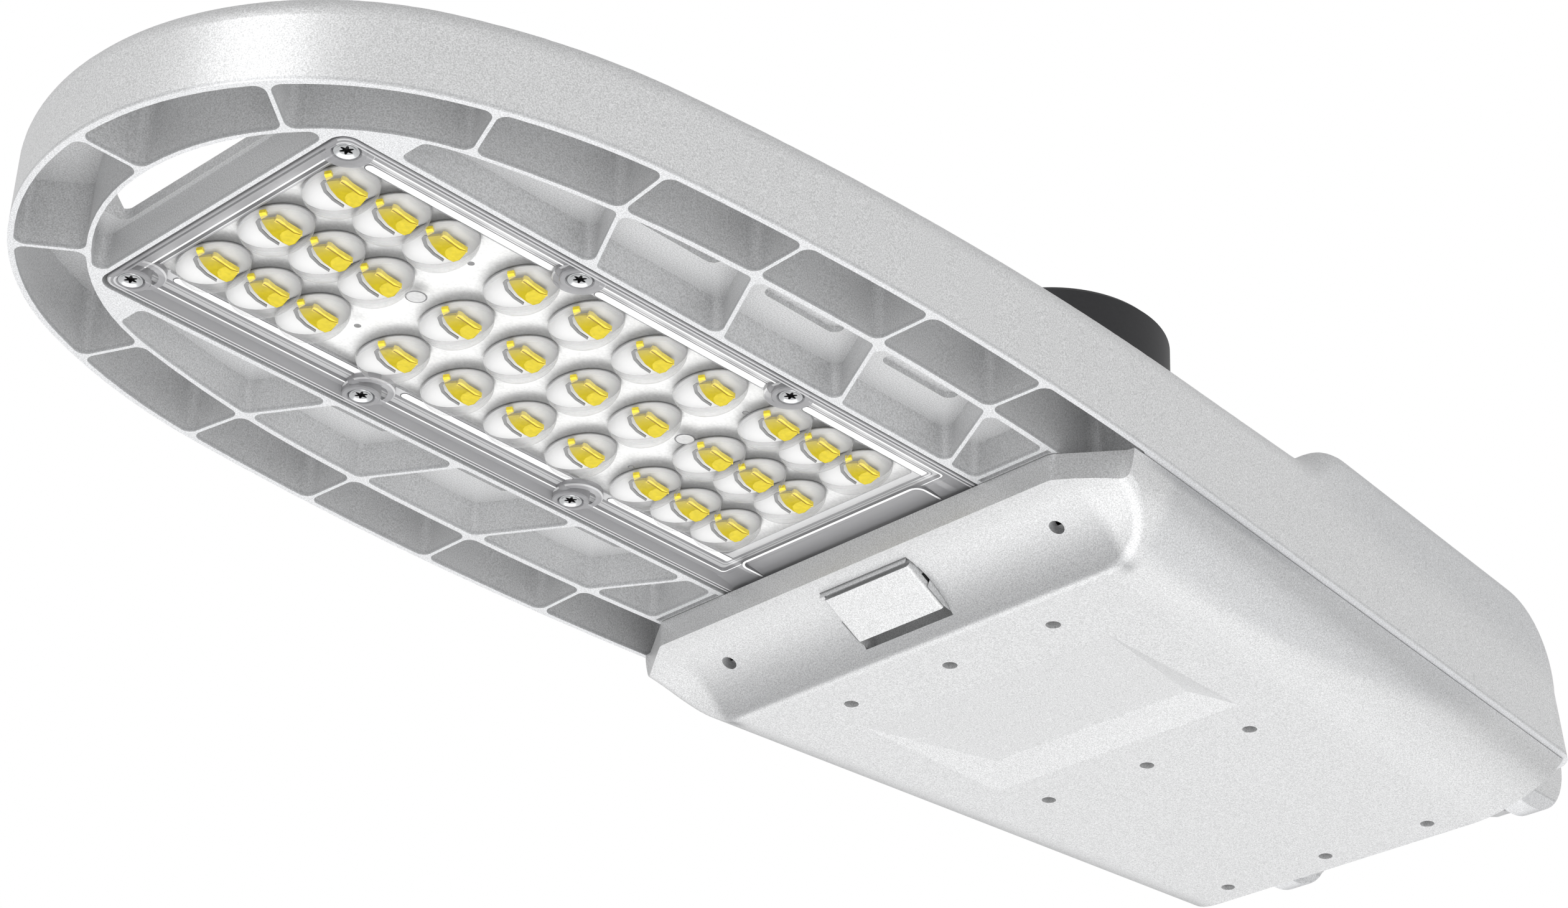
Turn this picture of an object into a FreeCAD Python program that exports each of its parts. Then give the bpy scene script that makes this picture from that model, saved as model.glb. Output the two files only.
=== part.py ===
import FreeCAD, Part
import Sketcher
import math
import os

Vector = FreeCAD.Vector
up = Vector(0, 0, 1)
nose_ward = Vector(1, 0, 0)
side_ward = Vector(0, 1, 0)

os.makedirs("parts", exist_ok=True)
doc = FreeCAD.newDocument("street_light_head")

# Driving dimensions in millimetres, angles in degrees. The origin is the centre of the pole pipe's
# mouth, +X runs along the pipe towards the nose and +Z is up. Drops are measured down from the pipe's
# axis, heights up from it, and reaches forwards from the mouth.
dimensions = {
    "pipe_radius": 30.15,
    "pipe_clearance": 0.15,
    "pipe_stop": 118,
    "rim_drop": 23.4,
    "nose_reach": 531.3,
    "nose_fall": 13.1,
    "nose_corner_radius": 181.7,
    "side_apex_reach": 327.5,
    "half_width": 102.8,
    "front_side_radius": 872.9,
    "rear_side_radius": 1019,
    "rear_half_width": 74.8,
    "skirt_wall": 3.5,
    "rim_wall": 1.6,
    "shoulder_radius": 8.5,
    "deck_nose_height": 4.1,
    "deck_middle_height": 8.3,
    "deck_middle_reach": 350,
    "deck_rear_height": 15.3,
    "compartment_roof_height": 8.5,
    "hump_foot_reach": 165,
    "hump_front_reach": 135,
    "hump_height": 27.6,
    "hump_rear_radius": 29,
    "hump_rear_reach": 35,
    "crown_radius": 36,
    "crown_reach": 126,
    "ring_nose_reach": 511.2,
    "ring_nose_fall": 11.6,
    "ring_corner_radius": 325,
    "ring_apex_reach": 329.1,
    "rim_cell_width": 20.8,
    "ring_side_radius": 966,
    "ring_wall": 1.8,
    "ring_nose_wall": 1.3,
    "basin_side_margin": 2,
    "basin_nose_margin": 1.5,
    "ring_rear_reach": 262.4,
    "web_thickness": 1.1,
    "first_web_reach": 287.65,
    "last_web_setback": 17.3,
    "inner_web_lean": 28.5,
    "cell_depth": 20,
    "cell_corner_radius": 3,
    "side_pocket_depth": 10.7,
    "side_pocket_reach": 472,
    "pocket_corner_radius": 2.5,
    "slot_offset": 12,
    "slot_reach": 66.2,
    "slot_length": 22.6,
    "slot_radius": 2.6,
    "slot_depth": 1.8,
    "lens_frame_wall": 1.7,
    "lens_frame_nose_wall": 1.3,
    "nose_shelf": 1.4,
    "nose_hole_half_width": 36,
    "pad_roof": 3.3,
    "fin_pitch": 17,
    "fin_thickness": 3,
    "fin_front_reach": 462,
    "fin_rear_reach": 250,
    "bulkhead_reach": 236,
    "bulkhead_thickness": 5,
    "lens_recess_depth": 8.2,
    "lens_recess_corner": 5,
    "lens_rear_reach": 244.4,
    "lens_nose_reach": 487.2,
    "lens_half_width": 49.7,
    "lens_corner_radius": 4,
    "lens_gap": 1.1,
    "lens_setback": 0.3,
    "lens_panel_depth": 3.5,
    "lens_sheet": 1.4,
    "lens_panel_inset": 9,
    "lens_panel_setback": 27.2,
    "lens_rim_width": 2.2,
    "dome_length": 16,
    "dome_width": 24,
    "dome_height": 5.3,
    "board_thickness": 1.6,
    "board_half_width": 40,
    "board_margin": 5.5,
    "board_corner_radius": 2,
    "emitter_side": 5,
    "emitter_height": 1.2,
    "led_row_spacing": 26,
    "led_first_reach": 469,
    "led_close_pitch": 16.4,
    "led_wide_pitch": 23,
    "led_front_gap": 27.6,
    "led_rear_gap": 25.1,
    "lens_screw_reach": 481.8,
    "lens_screw_pitch": 77.3,
    "lens_screw_offset": 44.1,
    "lens_screw_radius": 2,
    "lens_screw_head_radius": 3.6,
    "lens_screw_head_height": 2.3,
    "lens_screw_head_gap": 0.3,
    "lens_screw_depth": 4.4,
    "lens_screw_tip_gap": 0.3,
    "lens_boss_radius": 5.2,
    "lens_boss_wall": 1.8,
    "lens_post_radius": 3.4,
    "lens_post_gap": 0.2,
    "gasket_width": 1.6,
    "gasket_height": 1,
    "lens_screw_clearance": 0.15,
    "door_gap": 0.3,
    "door_depth": 22.7,
    "door_wall": 2.8,
    "door_inset": 2,
    "door_round": 24.6,
    "door_rear_reach": 5,
    "door_flat_rear_reach": 25,
    "door_pipe_gap": 1.7,
    "door_front_reach": 259.3,
    "door_groove_width": 1.8,
    "door_groove_depth": 1.6,
    "door_shoulder_reach": 247,
    "door_lip_inset": 25.3,
    "door_shoulder_inset": 7.3,
    "door_corner_radius": 4,
    "door_cove_reach": 242,
    "door_cove_rise": 11.4,
    "door_lip_height": 8.2,
    "door_flat_reach": 229,
    "door_ridge_radius": 3.5,
    "door_hole_radius": 2.25,
    "door_hole_reach": 34.1,
    "door_hole_pitch": 90.2,
    "door_hole_offset": 40,
    "door_front_hole_reach": 244.5,
    "door_front_hole_offset": 65.1,
    "door_front_hole_drop": 37.5,
    "dish_rear_reach": 139.5,
    "dish_front_reach": 200,
    "dish_bevel": 12,
    "dish_half_width": 48,
    "dish_side_bevel": 10,
    "dish_depth": 3.2,
    "dish_backing": 2.2,
    "dish_backing_start": 1,
    "dish_backing_margin": 3,
    "ear_radius": 19.8,
    "ear_thickness": 8,
    "ear_offset": 48,
    "hinge_setback": 7.3,
    "hinge_drop": 9.7,
    "hinge_pin_radius": 3,
    "hinge_head_lip": 1.5,
    "hinge_head_height": 2,
    "arm_thickness": 8,
    "arm_eye_radius": 8.5,
    "running_gap": 0.5,
    "pin_clearance": 0.06,
    "latch_half_width": 16.7,
    "latch_thickness": 3,
    "latch_top_reach": 251,
    "latch_top_drop": 34,
    "latch_bottom_reach": 236,
    "latch_bottom_drop": 41.7,
    "latch_pivot_reach": 247,
    "latch_pivot_drop": 31.5,
    "latch_knuckle_radius": 3.2,
    "latch_pin_radius": 1.5,
    "latch_pin_grip": 4,
    "latch_side_gap": 0.5,
    "finger_reach": 228,
    "hook_half_width": 6,
    "hook_thickness": 3,
    "hook_height": 18,
    "hook_nose_depth": 2.2,
    "hook_nose_height": 4,
    "hook_nose_tip": 1.3,
    "keeper_gap": 0.4,
    "latch_edge_radius": 0.8,
    "spring_half_width": 4,
    "spring_thickness": 0.6,
    "spring_gap": 0.3,
    "spring_foot_length": 5.4,
    "spring_foot_width": 19,
    "spring_bend_reach": 7,
    "spring_bend_height": 10,
    "spring_tip_drop": 6,
    "spring_screw_offset": 11,
    "spring_screw_depth": 1.8,
    "cap_reach": 170,
    "cap_radius": 38,
    "cap_top_height": 83.6,
    "cap_wall": 2.5,
    "cap_boss_radius": 42,
    "cap_boss_height": 30,
    "cap_boss_bevel": 2.5,
    "cap_lift": 1,
    "cap_edge_bevel": 2,
    "cap_disc_thickness": 2.5,
    "receptacle_radius": 33,
    "receptacle_flange": 3,
    "receptacle_height": 9,
    "receptacle_neck_radius": 25.5,
    "receptacle_plug_radius": 26,
    "receptacle_plug_depth": 9,
    "receptacle_screw_radius": 1.5,
    "receptacle_screw_circle": 29.2,
    "small_head_radius": 2.8,
    "small_head_height": 2,
    "receptacle_gasket_height": 1,
    "blade_circle_radius": 14.5,
    "blade_angle": 32,
    "blade_thickness": 1.6,
    "blade_length": 10,
    "blade_gap": 0.4,
    "blade_end_angle": 1.5,
    "twist_angle": 22,
    "rib_thickness": 5,
    "rib_half_width": 40,
    "clamp_front_reach": 85,
    "clamp_rear_reach": 35,
    "clamp_bar_width": 18,
    "clamp_bar_thickness": 4,
    "clamp_ear_drop": 18,
    "clamp_bolt_offset": 45,
    "clamp_bolt_radius": 4,
    "clamp_bolt_grip": 22,
    "clamp_boss_radius": 8,
    "bolt_head_radius": 7.5,
    "bolt_head_height": 5.3,
    "bolt_clearance": 0.4,
    "clamp_gap": 0.5,
    "washer_radius": 8,
    "washer_thickness": 1.6,
    "driver_width": 128,
    "driver_front_gap": 14,
    "driver_corner_radius": 1.5,
    "driver_height": 27,
    "driver_seat_height": 5,
    "driver_tab": 9,
    "driver_tab_thickness": 2,
    "driver_screw_radius": 1.5,
    "driver_screw_depth": 3,
    "screw_gap": 0.2,
    "terminal_reach": 133,
    "terminal_length": 22,
    "gear_gap": 3,
    "terminal_width": 56,
    "terminal_height": 18,
    "terminal_side_gap": 26.8,
    "terminal_slot": 10,
    "terminal_slot_wall": 3,
    "terminal_slot_height": 9,
    "terminal_slot_back": 4,
    "surge_width": 36,
    "surge_height": 28,
    "surge_side_gap": 29.8,
    "surge_corner_radius": 2,
    "block_screw_depth": 2.4,
    "block_screw_base": 3,
    "screw_seat_gap": 0.3,
    "screw_edge_gap": 1,
}

sheet = doc.addObject("Spreadsheet::Sheet", "size")
for row, (alias, value) in enumerate(dimensions.items(), start=1):
    sheet.set(f"A{row}", alias.replace("_", " "))
    sheet.set(f"B{row}", str(value))
    sheet.setAlias(f"B{row}", alias)
doc.recompute()


class Length(float):
    # A number that also carries the expression it comes from, so that one sum gives both the
    # starting value of a feature and the binding to the sheet.
    def __new__(cls, value, text):
        length = super().__new__(cls, value)
        length.text = text
        return length

    def join(self, other, sign, value, swapped=False):
        texts = [self.text, getattr(other, "text", str(other))]
        if swapped:
            texts.reverse()
        return Length(value, f"({texts[0]} {sign} {texts[1]})")

    def __add__(self, other):
        return self.join(other, "+", float(self) + float(other))

    def __radd__(self, other):
        return self.join(other, "+", float(self) + float(other), swapped=True)

    def __sub__(self, other):
        return self.join(other, "-", float(self) - float(other))

    def __rsub__(self, other):
        return self.join(other, "-", float(other) - float(self), swapped=True)

    def __mul__(self, other):
        return self.join(other, "*", float(self) * float(other))

    def __rmul__(self, other):
        return self.join(other, "*", float(self) * float(other), swapped=True)

    def __truediv__(self, other):
        return self.join(other, "/", float(self) / float(other))

    def __neg__(self):
        return Length(-float(self), f"(-{self.text})")


class SheetValues:
    def __getattr__(self, alias):
        return Length(getattr(sheet, alias), f"size.{alias}")


size = SheetValues()

# Levels that several pieces share
rim = -size.rim_drop
lens_seat = rim + size.lens_recess_depth
lens_face = rim + size.lens_setback
lens_panel = lens_face + size.lens_panel_depth
lens_inner = lens_panel + size.lens_sheet
board_face = lens_seat - size.board_thickness
side_pocket_roof = rim + size.side_pocket_depth
basin_floor = side_pocket_roof + size.pad_roof
cell_roof = rim + size.cell_depth
door_top = rim - size.door_gap
door_bottom = door_top - size.door_depth
door_floor = door_bottom + size.door_wall
bore_radius = size.pipe_radius + size.pipe_clearance
hinge_x = -size.hinge_setback
hinge_z = -size.hinge_drop
ear_inner = size.ear_offset - size.ear_thickness / 2
ear_outer = size.ear_offset + size.ear_thickness / 2
arm_outer = ear_inner - size.running_gap
arm_inner = arm_outer - size.arm_thickness
bulkhead_front = size.bulkhead_reach + size.bulkhead_thickness
recess_half_width = size.lens_half_width + size.lens_gap
recess_nose = size.lens_nose_reach + size.lens_gap
pocket_side = recess_half_width + size.lens_frame_wall
pocket_nose = recess_nose + size.lens_frame_nose_wall
nose_radius = size.half_width - size.nose_fall
ring_half_width = size.half_width - size.rim_cell_width
door_lip_half_width = size.half_width - size.door_lip_inset
door_shoulder_half_width = size.half_width - size.door_shoulder_inset
ring_nose_radius = ring_half_width - size.ring_nose_fall
driver_reach = size.terminal_reach + size.terminal_length + size.gear_gap
driver_length = size.bulkhead_reach - size.driver_front_gap - driver_reach
terminal_offset = size.half_width - size.terminal_side_gap - size.terminal_width / 2
surge_offset = size.half_width - size.surge_side_gap - size.surge_width / 2


# Features bound to the sheet
def bind(feature, **lengths):
    for name, length in lengths.items():
        setattr(feature, name, float(length))
        if hasattr(length, "text"):
            feature.setExpression(name, length.text)


def place(feature, x, y, z, direction=up):
    spot = Vector(float(x), float(y), float(z))
    feature.Placement = FreeCAD.Placement(spot, FreeCAD.Rotation(up, direction))
    for axis, length in zip("xyz", (x, y, z)):
        if hasattr(length, "text"):
            feature.setExpression(f"Placement.Base.{axis}", length.text)


def block(name, low, high):
    feature = doc.addObject("Part::Box", name)
    place(feature, *low)
    bind(feature, Length=high[0] - low[0], Width=high[1] - low[1], Height=high[2] - low[2])
    return feature


def rod(name, start, radius, length, direction=up):
    feature = doc.addObject("Part::Cylinder", name)
    place(feature, *start, direction)
    bind(feature, Radius=radius, Height=length)
    return feature


def fused(name, pieces):
    feature = doc.addObject("Part::MultiFuse", name)
    feature.Shapes = pieces
    return feature


def cut(name, base, tools):
    feature = doc.addObject("Part::Cut", name)
    feature.Base = base
    feature.Tool = tools[0] if len(tools) == 1 else fused(name + "_cutters", tools)
    return feature


def group(name, pieces):
    feature = doc.addObject("Part::Compound", name)
    feature.Links = pieces
    return feature


def shaped(name, shape):
    feature = doc.addObject("Part::Feature", name)
    feature.Shape = shape
    return feature


def rounded(name, base, radius, wanted):
    doc.recompute()
    feature = doc.addObject("Part::Fillet", name)
    feature.Base = base
    picked = [number for number, edge in enumerate(base.Shape.Edges, start=1) if wanted(edge)]
    feature.Edges = [(number, float(radius), float(radius)) for number in picked]
    return feature


same_place = 0.001
wall_steps = 20
corner_overlap = 1.9
corner_share = 0.95


# Plain geometry
def point(x, y, z=0.0):
    return Vector(float(x), float(y), float(z))


def line(start, end):
    return Part.LineSegment(start, end)


def arc_about(centre, radius, start, end):
    # The arc from start to end that stays on the outer side of the chord
    middle = (start + end) / 2
    reach = (middle - centre).normalize() * float(radius)
    return Part.Arc(start, centre + reach, end)


def prism(curves, height, level=0.0, direction=up):
    wire = Part.Wire(Part.sortEdges([curve.toShape() for curve in curves])[0])
    face = Part.Face(wire)
    face.translate(up * float(level))
    return face.extrude(direction * float(height))


def side_prism(curves, half_width):
    # Curves drawn in the XZ plane, carried to both sides of it
    wire = Part.Wire(Part.sortEdges([curve.toShape() for curve in curves])[0])
    face = Part.Face(wire)
    face.translate(side_ward * -float(half_width))
    return face.extrude(side_ward * 2 * float(half_width))


def side_polygon(points, half_width):
    corners = list(points) + [points[0]]
    return side_prism([line(a, b) for a, b in zip(corners, corners[1:])], half_width)


def polygon_prism(points, height, level=0.0):
    corners = list(points) + [points[0]]
    return prism([line(a, b) for a, b in zip(corners, corners[1:])], height, level)


def box_solid(low, high):
    low = point(*low)
    high = point(*high)
    span = high - low
    return Part.makeBox(span.x, span.y, span.z, low)


def mirrored(shape):
    return shape.mirror(Vector(0, 0, 0), side_ward)


def sharp_upright_edges(solid):
    # Upright edges where two walls meet at a real corner, not where two arcs run smoothly on
    found = []
    for edge in solid.Edges:
        ends = [vertex.Point for vertex in edge.Vertexes]
        if len(ends) != 2 or (ends[0] - ends[1]).normalize().cross(up).Length > 0.001:
            continue
        middle = (ends[0] + ends[1]) / 2
        normals = []
        for face in solid.ancestorsOfType(edge, Part.Face):
            u, v = face.Surface.parameter(middle)
            normals.append(face.normalAt(u, v))
        if len(normals) == 2 and normals[0].getAngle(normals[1]) > math.radians(15):
            found.append(edge)
    return found


def walls_at(solid, foot):
    # The level walls that meet at a corner's foot, each with the way it leaves the foot
    walls = []
    for wall in solid.Edges:
        first = wall.FirstParameter
        last = wall.LastParameter
        start = wall.valueAt(first)
        end = wall.valueAt(last)
        step = (last - first) / wall_steps
        if abs(start.z - end.z) > same_place:
            continue
        if (start - foot).Length < same_place:
            walls.append((wall, (wall.valueAt(first + step) - foot).normalize()))
        elif (end - foot).Length < same_place:
            walls.append((wall, (wall.valueAt(last - step) - foot).normalize()))
    return walls


def corner_radii(solid, corners, radius):
    # The arcs at a wall's two ends may run into each other. Where they would run past each other,
    # they share the wall's length
    feet = [min(corner.Vertexes, key=lambda point: point.Z).Point for corner in corners]
    meeting = [walls_at(solid, foot) for foot in feet]
    reaches = []
    for walls in meeting:
        turned = walls[0][1].getAngle(walls[1][1]) if len(walls) == 2 else math.pi
        reaches.append(radius / math.tan(turned / 2))
    radii = []
    for number, walls in enumerate(meeting):
        share = 1.0
        for wall, way in walls:
            needed = sum(reach for reach, others in zip(reaches, meeting)
                         if any(wall.isSame(other) for other, way in others))
            if needed > corner_overlap * wall.Length:
                share = min(share, corner_share * wall.Length / needed)
        radii.append(radius * share)
    return radii


def soften_corners(solid, radius):
    # Every upright corner is rounded by the wanted radius, or by what its walls have room for
    corners = sharp_upright_edges(solid)
    radii = corner_radii(solid, corners, float(radius))
    spots = [corner.CenterOfMass for corner in corners]
    full = [corner for corner, fitting in zip(corners, radii) if fitting == float(radius)]
    if full:
        solid = solid.makeFillet(radius, full)
    for spot, fitting in zip(spots, radii):
        if fitting < float(radius):
            tight = [edge for edge in solid.Edges if (edge.CenterOfMass - spot).Length < same_place]
            solid = solid.makeFillet(fitting, tight)
    return solid


# The plan outline: a nose arc, two corner arcs and two side arcs that run on into each other, then a
# straight taper to the rear. Every inset keeps the same centres.
def half_outline(nose, nose_radius, corner_radius, apex_x, apex_y, side_radius):
    # A corner arc that touches both others has its centre as far from each of their centres as its
    # radius differs from theirs, so two circles meet there
    nose_centre = point(nose - nose_radius, 0)
    side_centre = point(apex_x, apex_y - side_radius)
    nose_step = float(nose_radius - corner_radius)
    side_step = float(side_radius - corner_radius)
    apart = side_centre - nose_centre
    along = (nose_step ** 2 - side_step ** 2 + apart.Length ** 2) / (2 * apart.Length)
    across = math.sqrt(nose_step ** 2 - along ** 2) * math.copysign(1, nose_step)
    axis = Vector(apart).normalize()
    corner = nose_centre + axis * along + Vector(-axis.y, axis.x, 0) * across
    tip = point(nose, 0)
    nose_end = nose_centre + (corner - nose_centre) * (float(nose_radius) / nose_step)
    side_start = side_centre + (corner - side_centre) * (float(side_radius) / side_step)
    apex = point(apex_x, apex_y)
    arcs = [arc_about(nose_centre, nose_radius, tip, nose_end),
            arc_about(corner, corner_radius, nose_end, side_start),
            arc_about(side_centre, side_radius, side_start, apex)]
    return arcs, apex, side_centre


def taper_normal():
    # Direction in plan square to the straight rear taper, which touches the rear side arc
    centre = point(size.side_apex_reach, size.half_width - size.rear_side_radius)
    corner = point(0, size.rear_half_width)
    apart = corner - centre
    angle = math.atan2(apart.y, apart.x) - math.acos(size.rear_side_radius / apart.Length)
    return centre, Vector(math.cos(angle), math.sin(angle), 0)


def taper_y(x, inset=0.0):
    normal = taper_normal()[1]
    foot = point(0, size.rear_half_width) - normal * float(inset)
    return foot.y - (float(x) - foot.x) * normal.x / normal.y


def skirt_curves(inset=0.0, rear_x=0.0):
    arcs, apex, _ = half_outline(size.nose_reach - inset, nose_radius - inset,
                                 size.nose_corner_radius - inset, size.side_apex_reach,
                                 size.half_width - inset, size.front_side_radius - inset)
    centre, normal = taper_normal()
    taper_start = centre + normal * float(size.rear_side_radius - inset)
    rear = point(rear_x, taper_y(rear_x, inset))
    arcs.append(arc_about(centre, size.rear_side_radius - inset, apex, taper_start))
    arcs.append(line(taper_start, rear))
    return closed_by_mirror(arcs, rear)


def ring_curves(side_inset=0.0, nose_inset=0.0, rear_x=None):
    rear_x = size.ring_rear_reach if rear_x is None else rear_x
    arcs, apex, side_centre = half_outline(size.ring_nose_reach - nose_inset,
                                           ring_nose_radius - nose_inset,
                                           size.ring_corner_radius - side_inset, size.ring_apex_reach,
                                           ring_half_width - side_inset,
                                           size.ring_side_radius - side_inset)
    radius = float(size.ring_side_radius - side_inset)
    back = float(size.ring_apex_reach - rear_x)
    rear = side_centre + point(-back, math.sqrt(radius ** 2 - back ** 2))
    arcs.append(arc_about(side_centre, radius, apex, rear))
    return closed_by_mirror(arcs, rear)


def mirrored_curve(curve):
    start, middle, end = (Vector(spot.x, -spot.y, 0) for spot in (
        curve.StartPoint, curve.value((curve.FirstParameter + curve.LastParameter) / 2), curve.EndPoint))
    if isinstance(curve, Part.LineSegment):
        return line(end, start)
    return Part.Arc(end, middle, start)


def closed_by_mirror(curves, rear):
    return curves + [line(rear, point(rear.x, -rear.y))] + [mirrored_curve(curve) for curve in curves]


# Sketches and bodies
def origin_plane(body, role):
    return next(feature for feature in body.Origin.OriginFeatures if feature.Role == role)


def sketch(body, name, role, curves, level=None):
    drawing = body.newObject("Sketcher::SketchObject", name)
    drawing.AttachmentSupport = (origin_plane(body, role), [""])
    drawing.MapMode = "FlatFace"
    if level is not None:
        drawing.setExpression("AttachmentOffset.Base.z", level.text)
    for curve in curves:
        number = drawing.addGeometry(curve)
        drawing.addConstraint(Sketcher.Constraint("Block", number))
    return drawing


def pad(body, name, profile, length):
    feature = body.newObject("PartDesign::Pad", name)
    feature.Profile = profile
    bind(feature, Length=length)
    return feature


def pocket_through(body, name, profile):
    feature = body.newObject("PartDesign::Pocket", name)
    feature.Profile = profile
    feature.Type = "ThroughAll"
    feature.Midplane = True
    return feature


def body_fillet(body, name, base, radius, wanted):
    doc.recompute()
    feature = body.newObject("PartDesign::Fillet", name)
    picked = [f"Edge{n}" for n, edge in enumerate(base.Shape.Edges, start=1) if wanted(edge)]
    feature.Base = (base, picked)
    bind(feature, Radius=radius)
    return feature


# Housing: the cast skirt
def above_profile_curves():
    # Everything above the side profile, drawn with X across and height up the sheet
    far = float(size.crown_radius + size.cap_top_height)
    nose = point(size.nose_reach + far, size.deck_nose_height)
    tip = point(size.nose_reach, size.deck_nose_height)
    middle = point(size.deck_middle_reach, size.deck_middle_height)
    foot = point(size.hump_foot_reach, size.deck_rear_height)
    crest = point(size.hump_front_reach, size.hump_height)
    run = foot.x - crest.x
    rise = crest.y - foot.y
    bend = (run ** 2 + rise ** 2) / (4 * rise)
    turn = (foot + crest) / 2
    rear_centre = point(size.hump_rear_reach, size.hump_height - size.hump_rear_radius)
    hump_end = point(size.hump_rear_reach, size.hump_height)
    back = rear_centre - point(size.hump_rear_radius, 0)
    heel = point(0, rim)
    return [line(nose, tip), Part.Arc(tip, middle, foot),
            arc_about(foot + point(0, bend), bend, foot, turn),
            arc_about(crest - point(0, bend), bend, turn, crest),
            line(crest, hump_end), arc_about(rear_centre, size.hump_rear_radius, hump_end, back),
            line(back, heel), line(heel, point(-far, rim)), line(point(-far, rim), point(-far, far)),
            line(point(-far, far), point(nose.x, far)), line(point(nose.x, far), nose)]


def housing_skirt():
    body = doc.addObject("PartDesign::Body", "housing_skirt")
    outline = sketch(body, "skirt_outline", "XY_Plane", skirt_curves(), rim)
    blank = pad(body, "skirt_pad", outline, size.hump_height - rim + 5)
    profile = sketch(body, "side_profile", "XZ_Plane", above_profile_curves())
    trimmed = pocket_through(body, "above_profile", profile)

    def on_top_edge(edge):
        box = edge.BoundBox
        along = box.YMin * box.YMax > 0 or edge.BoundBox.XMin > size.nose_reach - 45
        return box.ZMax > rim + 1 and along and box.XMax > 1 and box.YLength < 2 * nose_radius

    body_fillet(body, "shoulder", trimmed, size.shoulder_radius, on_top_edge)
    return body


def crown():
    # Barrel over the pole pipe, and the round pad that the photocontrol stands on
    start = size.hump_rear_reach - size.hump_rear_radius + 2
    barrel = rod("crown_barrel", (start, 0, 0), size.crown_radius, size.crown_reach - start, nose_ward)
    soft = rounded("crown_rounded", barrel, size.shoulder_radius, lambda edge: edge.BoundBox.XLength < 1)
    below = block("crown_lower_half", (start - 1, -size.crown_radius - 1, -size.crown_radius - 1),
                  (size.crown_reach + 1, size.crown_radius + 1, 0))
    pad = bevelled_disc("photocontrol_pad", size.deck_nose_height, size.cap_boss_height,
                        size.cap_boss_radius, size.cap_boss_bevel)
    return [cut("crown_upper_half", soft, [below]), pad]


def bevelled_disc(name, low, high, radius, bevel):
    # Disc about the photocontrol's axis with its top edge bevelled
    disc = rod(name + "_foot", (size.cap_reach, 0, low), radius, high - low - bevel)
    edge = doc.addObject("Part::Cone", name + "_edge")
    place(edge, size.cap_reach, 0, high - bevel)
    bind(edge, Radius1=radius, Radius2=radius - bevel, Height=bevel)
    return fused(name, [disc, edge])


def compartment_room():
    # Inside of the driver compartment, with a low roof under the deck and a high one under the hump
    inside = skirt_curves(float(size.skirt_wall))
    level = float(rim) - 1
    far = float(size.half_width)
    wall = float(size.skirt_wall)
    low_roof = prism(inside, size.compartment_roof_height - level, level)
    low_roof = low_roof.common(box_solid((0, -far, level), (size.bulkhead_reach, far, far)))
    high_roof = prism(inside, size.hump_height - wall - level, level)
    high_roof = high_roof.common(box_solid((0, -far, level), (size.hump_front_reach - wall, far, far)))
    room = low_roof.fuse(high_roof).common(rear_wall_room())
    neck = Part.makeCylinder(size.receptacle_plug_radius + 4, size.cap_boss_height - wall,
                             point(size.cap_reach, 0))
    return room.fuse(neck).removeSplitter()


def rear_wall_room():
    # Everything in front of the rear wall's inner face, which follows the outside profile
    wall = float(size.skirt_wall)
    inner_radius = float(size.hump_rear_radius) - wall
    centre = point(size.hump_rear_reach, 0, size.hump_height - size.hump_rear_radius)
    top = centre + up * inner_radius
    back = centre - nose_ward * inner_radius
    heel = point(wall, 0, rim - 1)
    far = point(size.nose_reach, 0, rim - 1)
    corner = point(size.nose_reach, 0, size.half_width)
    above = point(size.hump_rear_reach, 0, size.half_width)
    curves = [line(heel, back), arc_about(centre, inner_radius, back, top), line(top, above),
              line(above, corner), line(corner, far), line(far, heel)]
    return side_prism(curves, size.half_width)


web_leans = (-2.3, 0.0, 3.1, 8.5, 22.0, 52.0)
web_pitch = (size.nose_reach - size.last_web_setback - size.first_web_reach) / (len(web_leans) - 1)


def web_feet():
    # Where each web leaves the skirt, how it leans, and where it meets the ring
    skirt = Part.Face(Part.Wire(Part.sortEdges([c.toShape() for c in skirt_curves()])[0]))
    ring = Part.Wire(Part.sortEdges([c.toShape() for c in ring_curves()])[0])
    feet = []
    for number, lean in enumerate(web_leans):
        x = float(size.first_web_reach + web_pitch * number)
        chord = line(point(x, 0), point(x, size.half_width * 2)).toShape().common(skirt)
        foot = point(x, chord.BoundBox.YMax)
        heading = Vector(-math.sin(math.radians(lean)), -math.cos(math.radians(lean)), 0)
        path = line(foot, foot + heading * float(size.half_width) / 2).toShape()
        meeting = path.distToShape(ring)[1][0][0]
        feet.append((foot, heading, meeting))
    return feet


def web_plate(start, heading, length, before=10.0):
    across = Vector(-heading.y, heading.x, 0) * float(size.web_thickness) / 2
    near = start - heading * before
    far = start + heading * float(length)
    corners = [near + across, near - across, far - across, far + across]
    return polygon_prism(corners, size.cell_depth + 2, float(rim) - 1)


def outer_webs():
    plates = []
    for foot, heading, meeting in web_feet():
        plate = web_plate(foot, heading, (meeting - foot).Length + 6)
        plates += [plate, mirrored(plate)]
    nose_web = box_solid((size.ring_nose_reach - 5, -size.web_thickness / 2, rim - 1),
                         (size.nose_reach, size.web_thickness / 2, cell_roof + 1))
    return plates + [nose_web]


def inner_webs():
    lean = math.radians(size.inner_web_lean)
    heading = Vector(-math.sin(lean), -math.cos(lean), 0)
    plates = []
    for foot, _, meeting in web_feet()[:4]:
        plate = web_plate(meeting, heading, 40, 4)
        plates += [plate, mirrored(plate)]
    return plates


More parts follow.
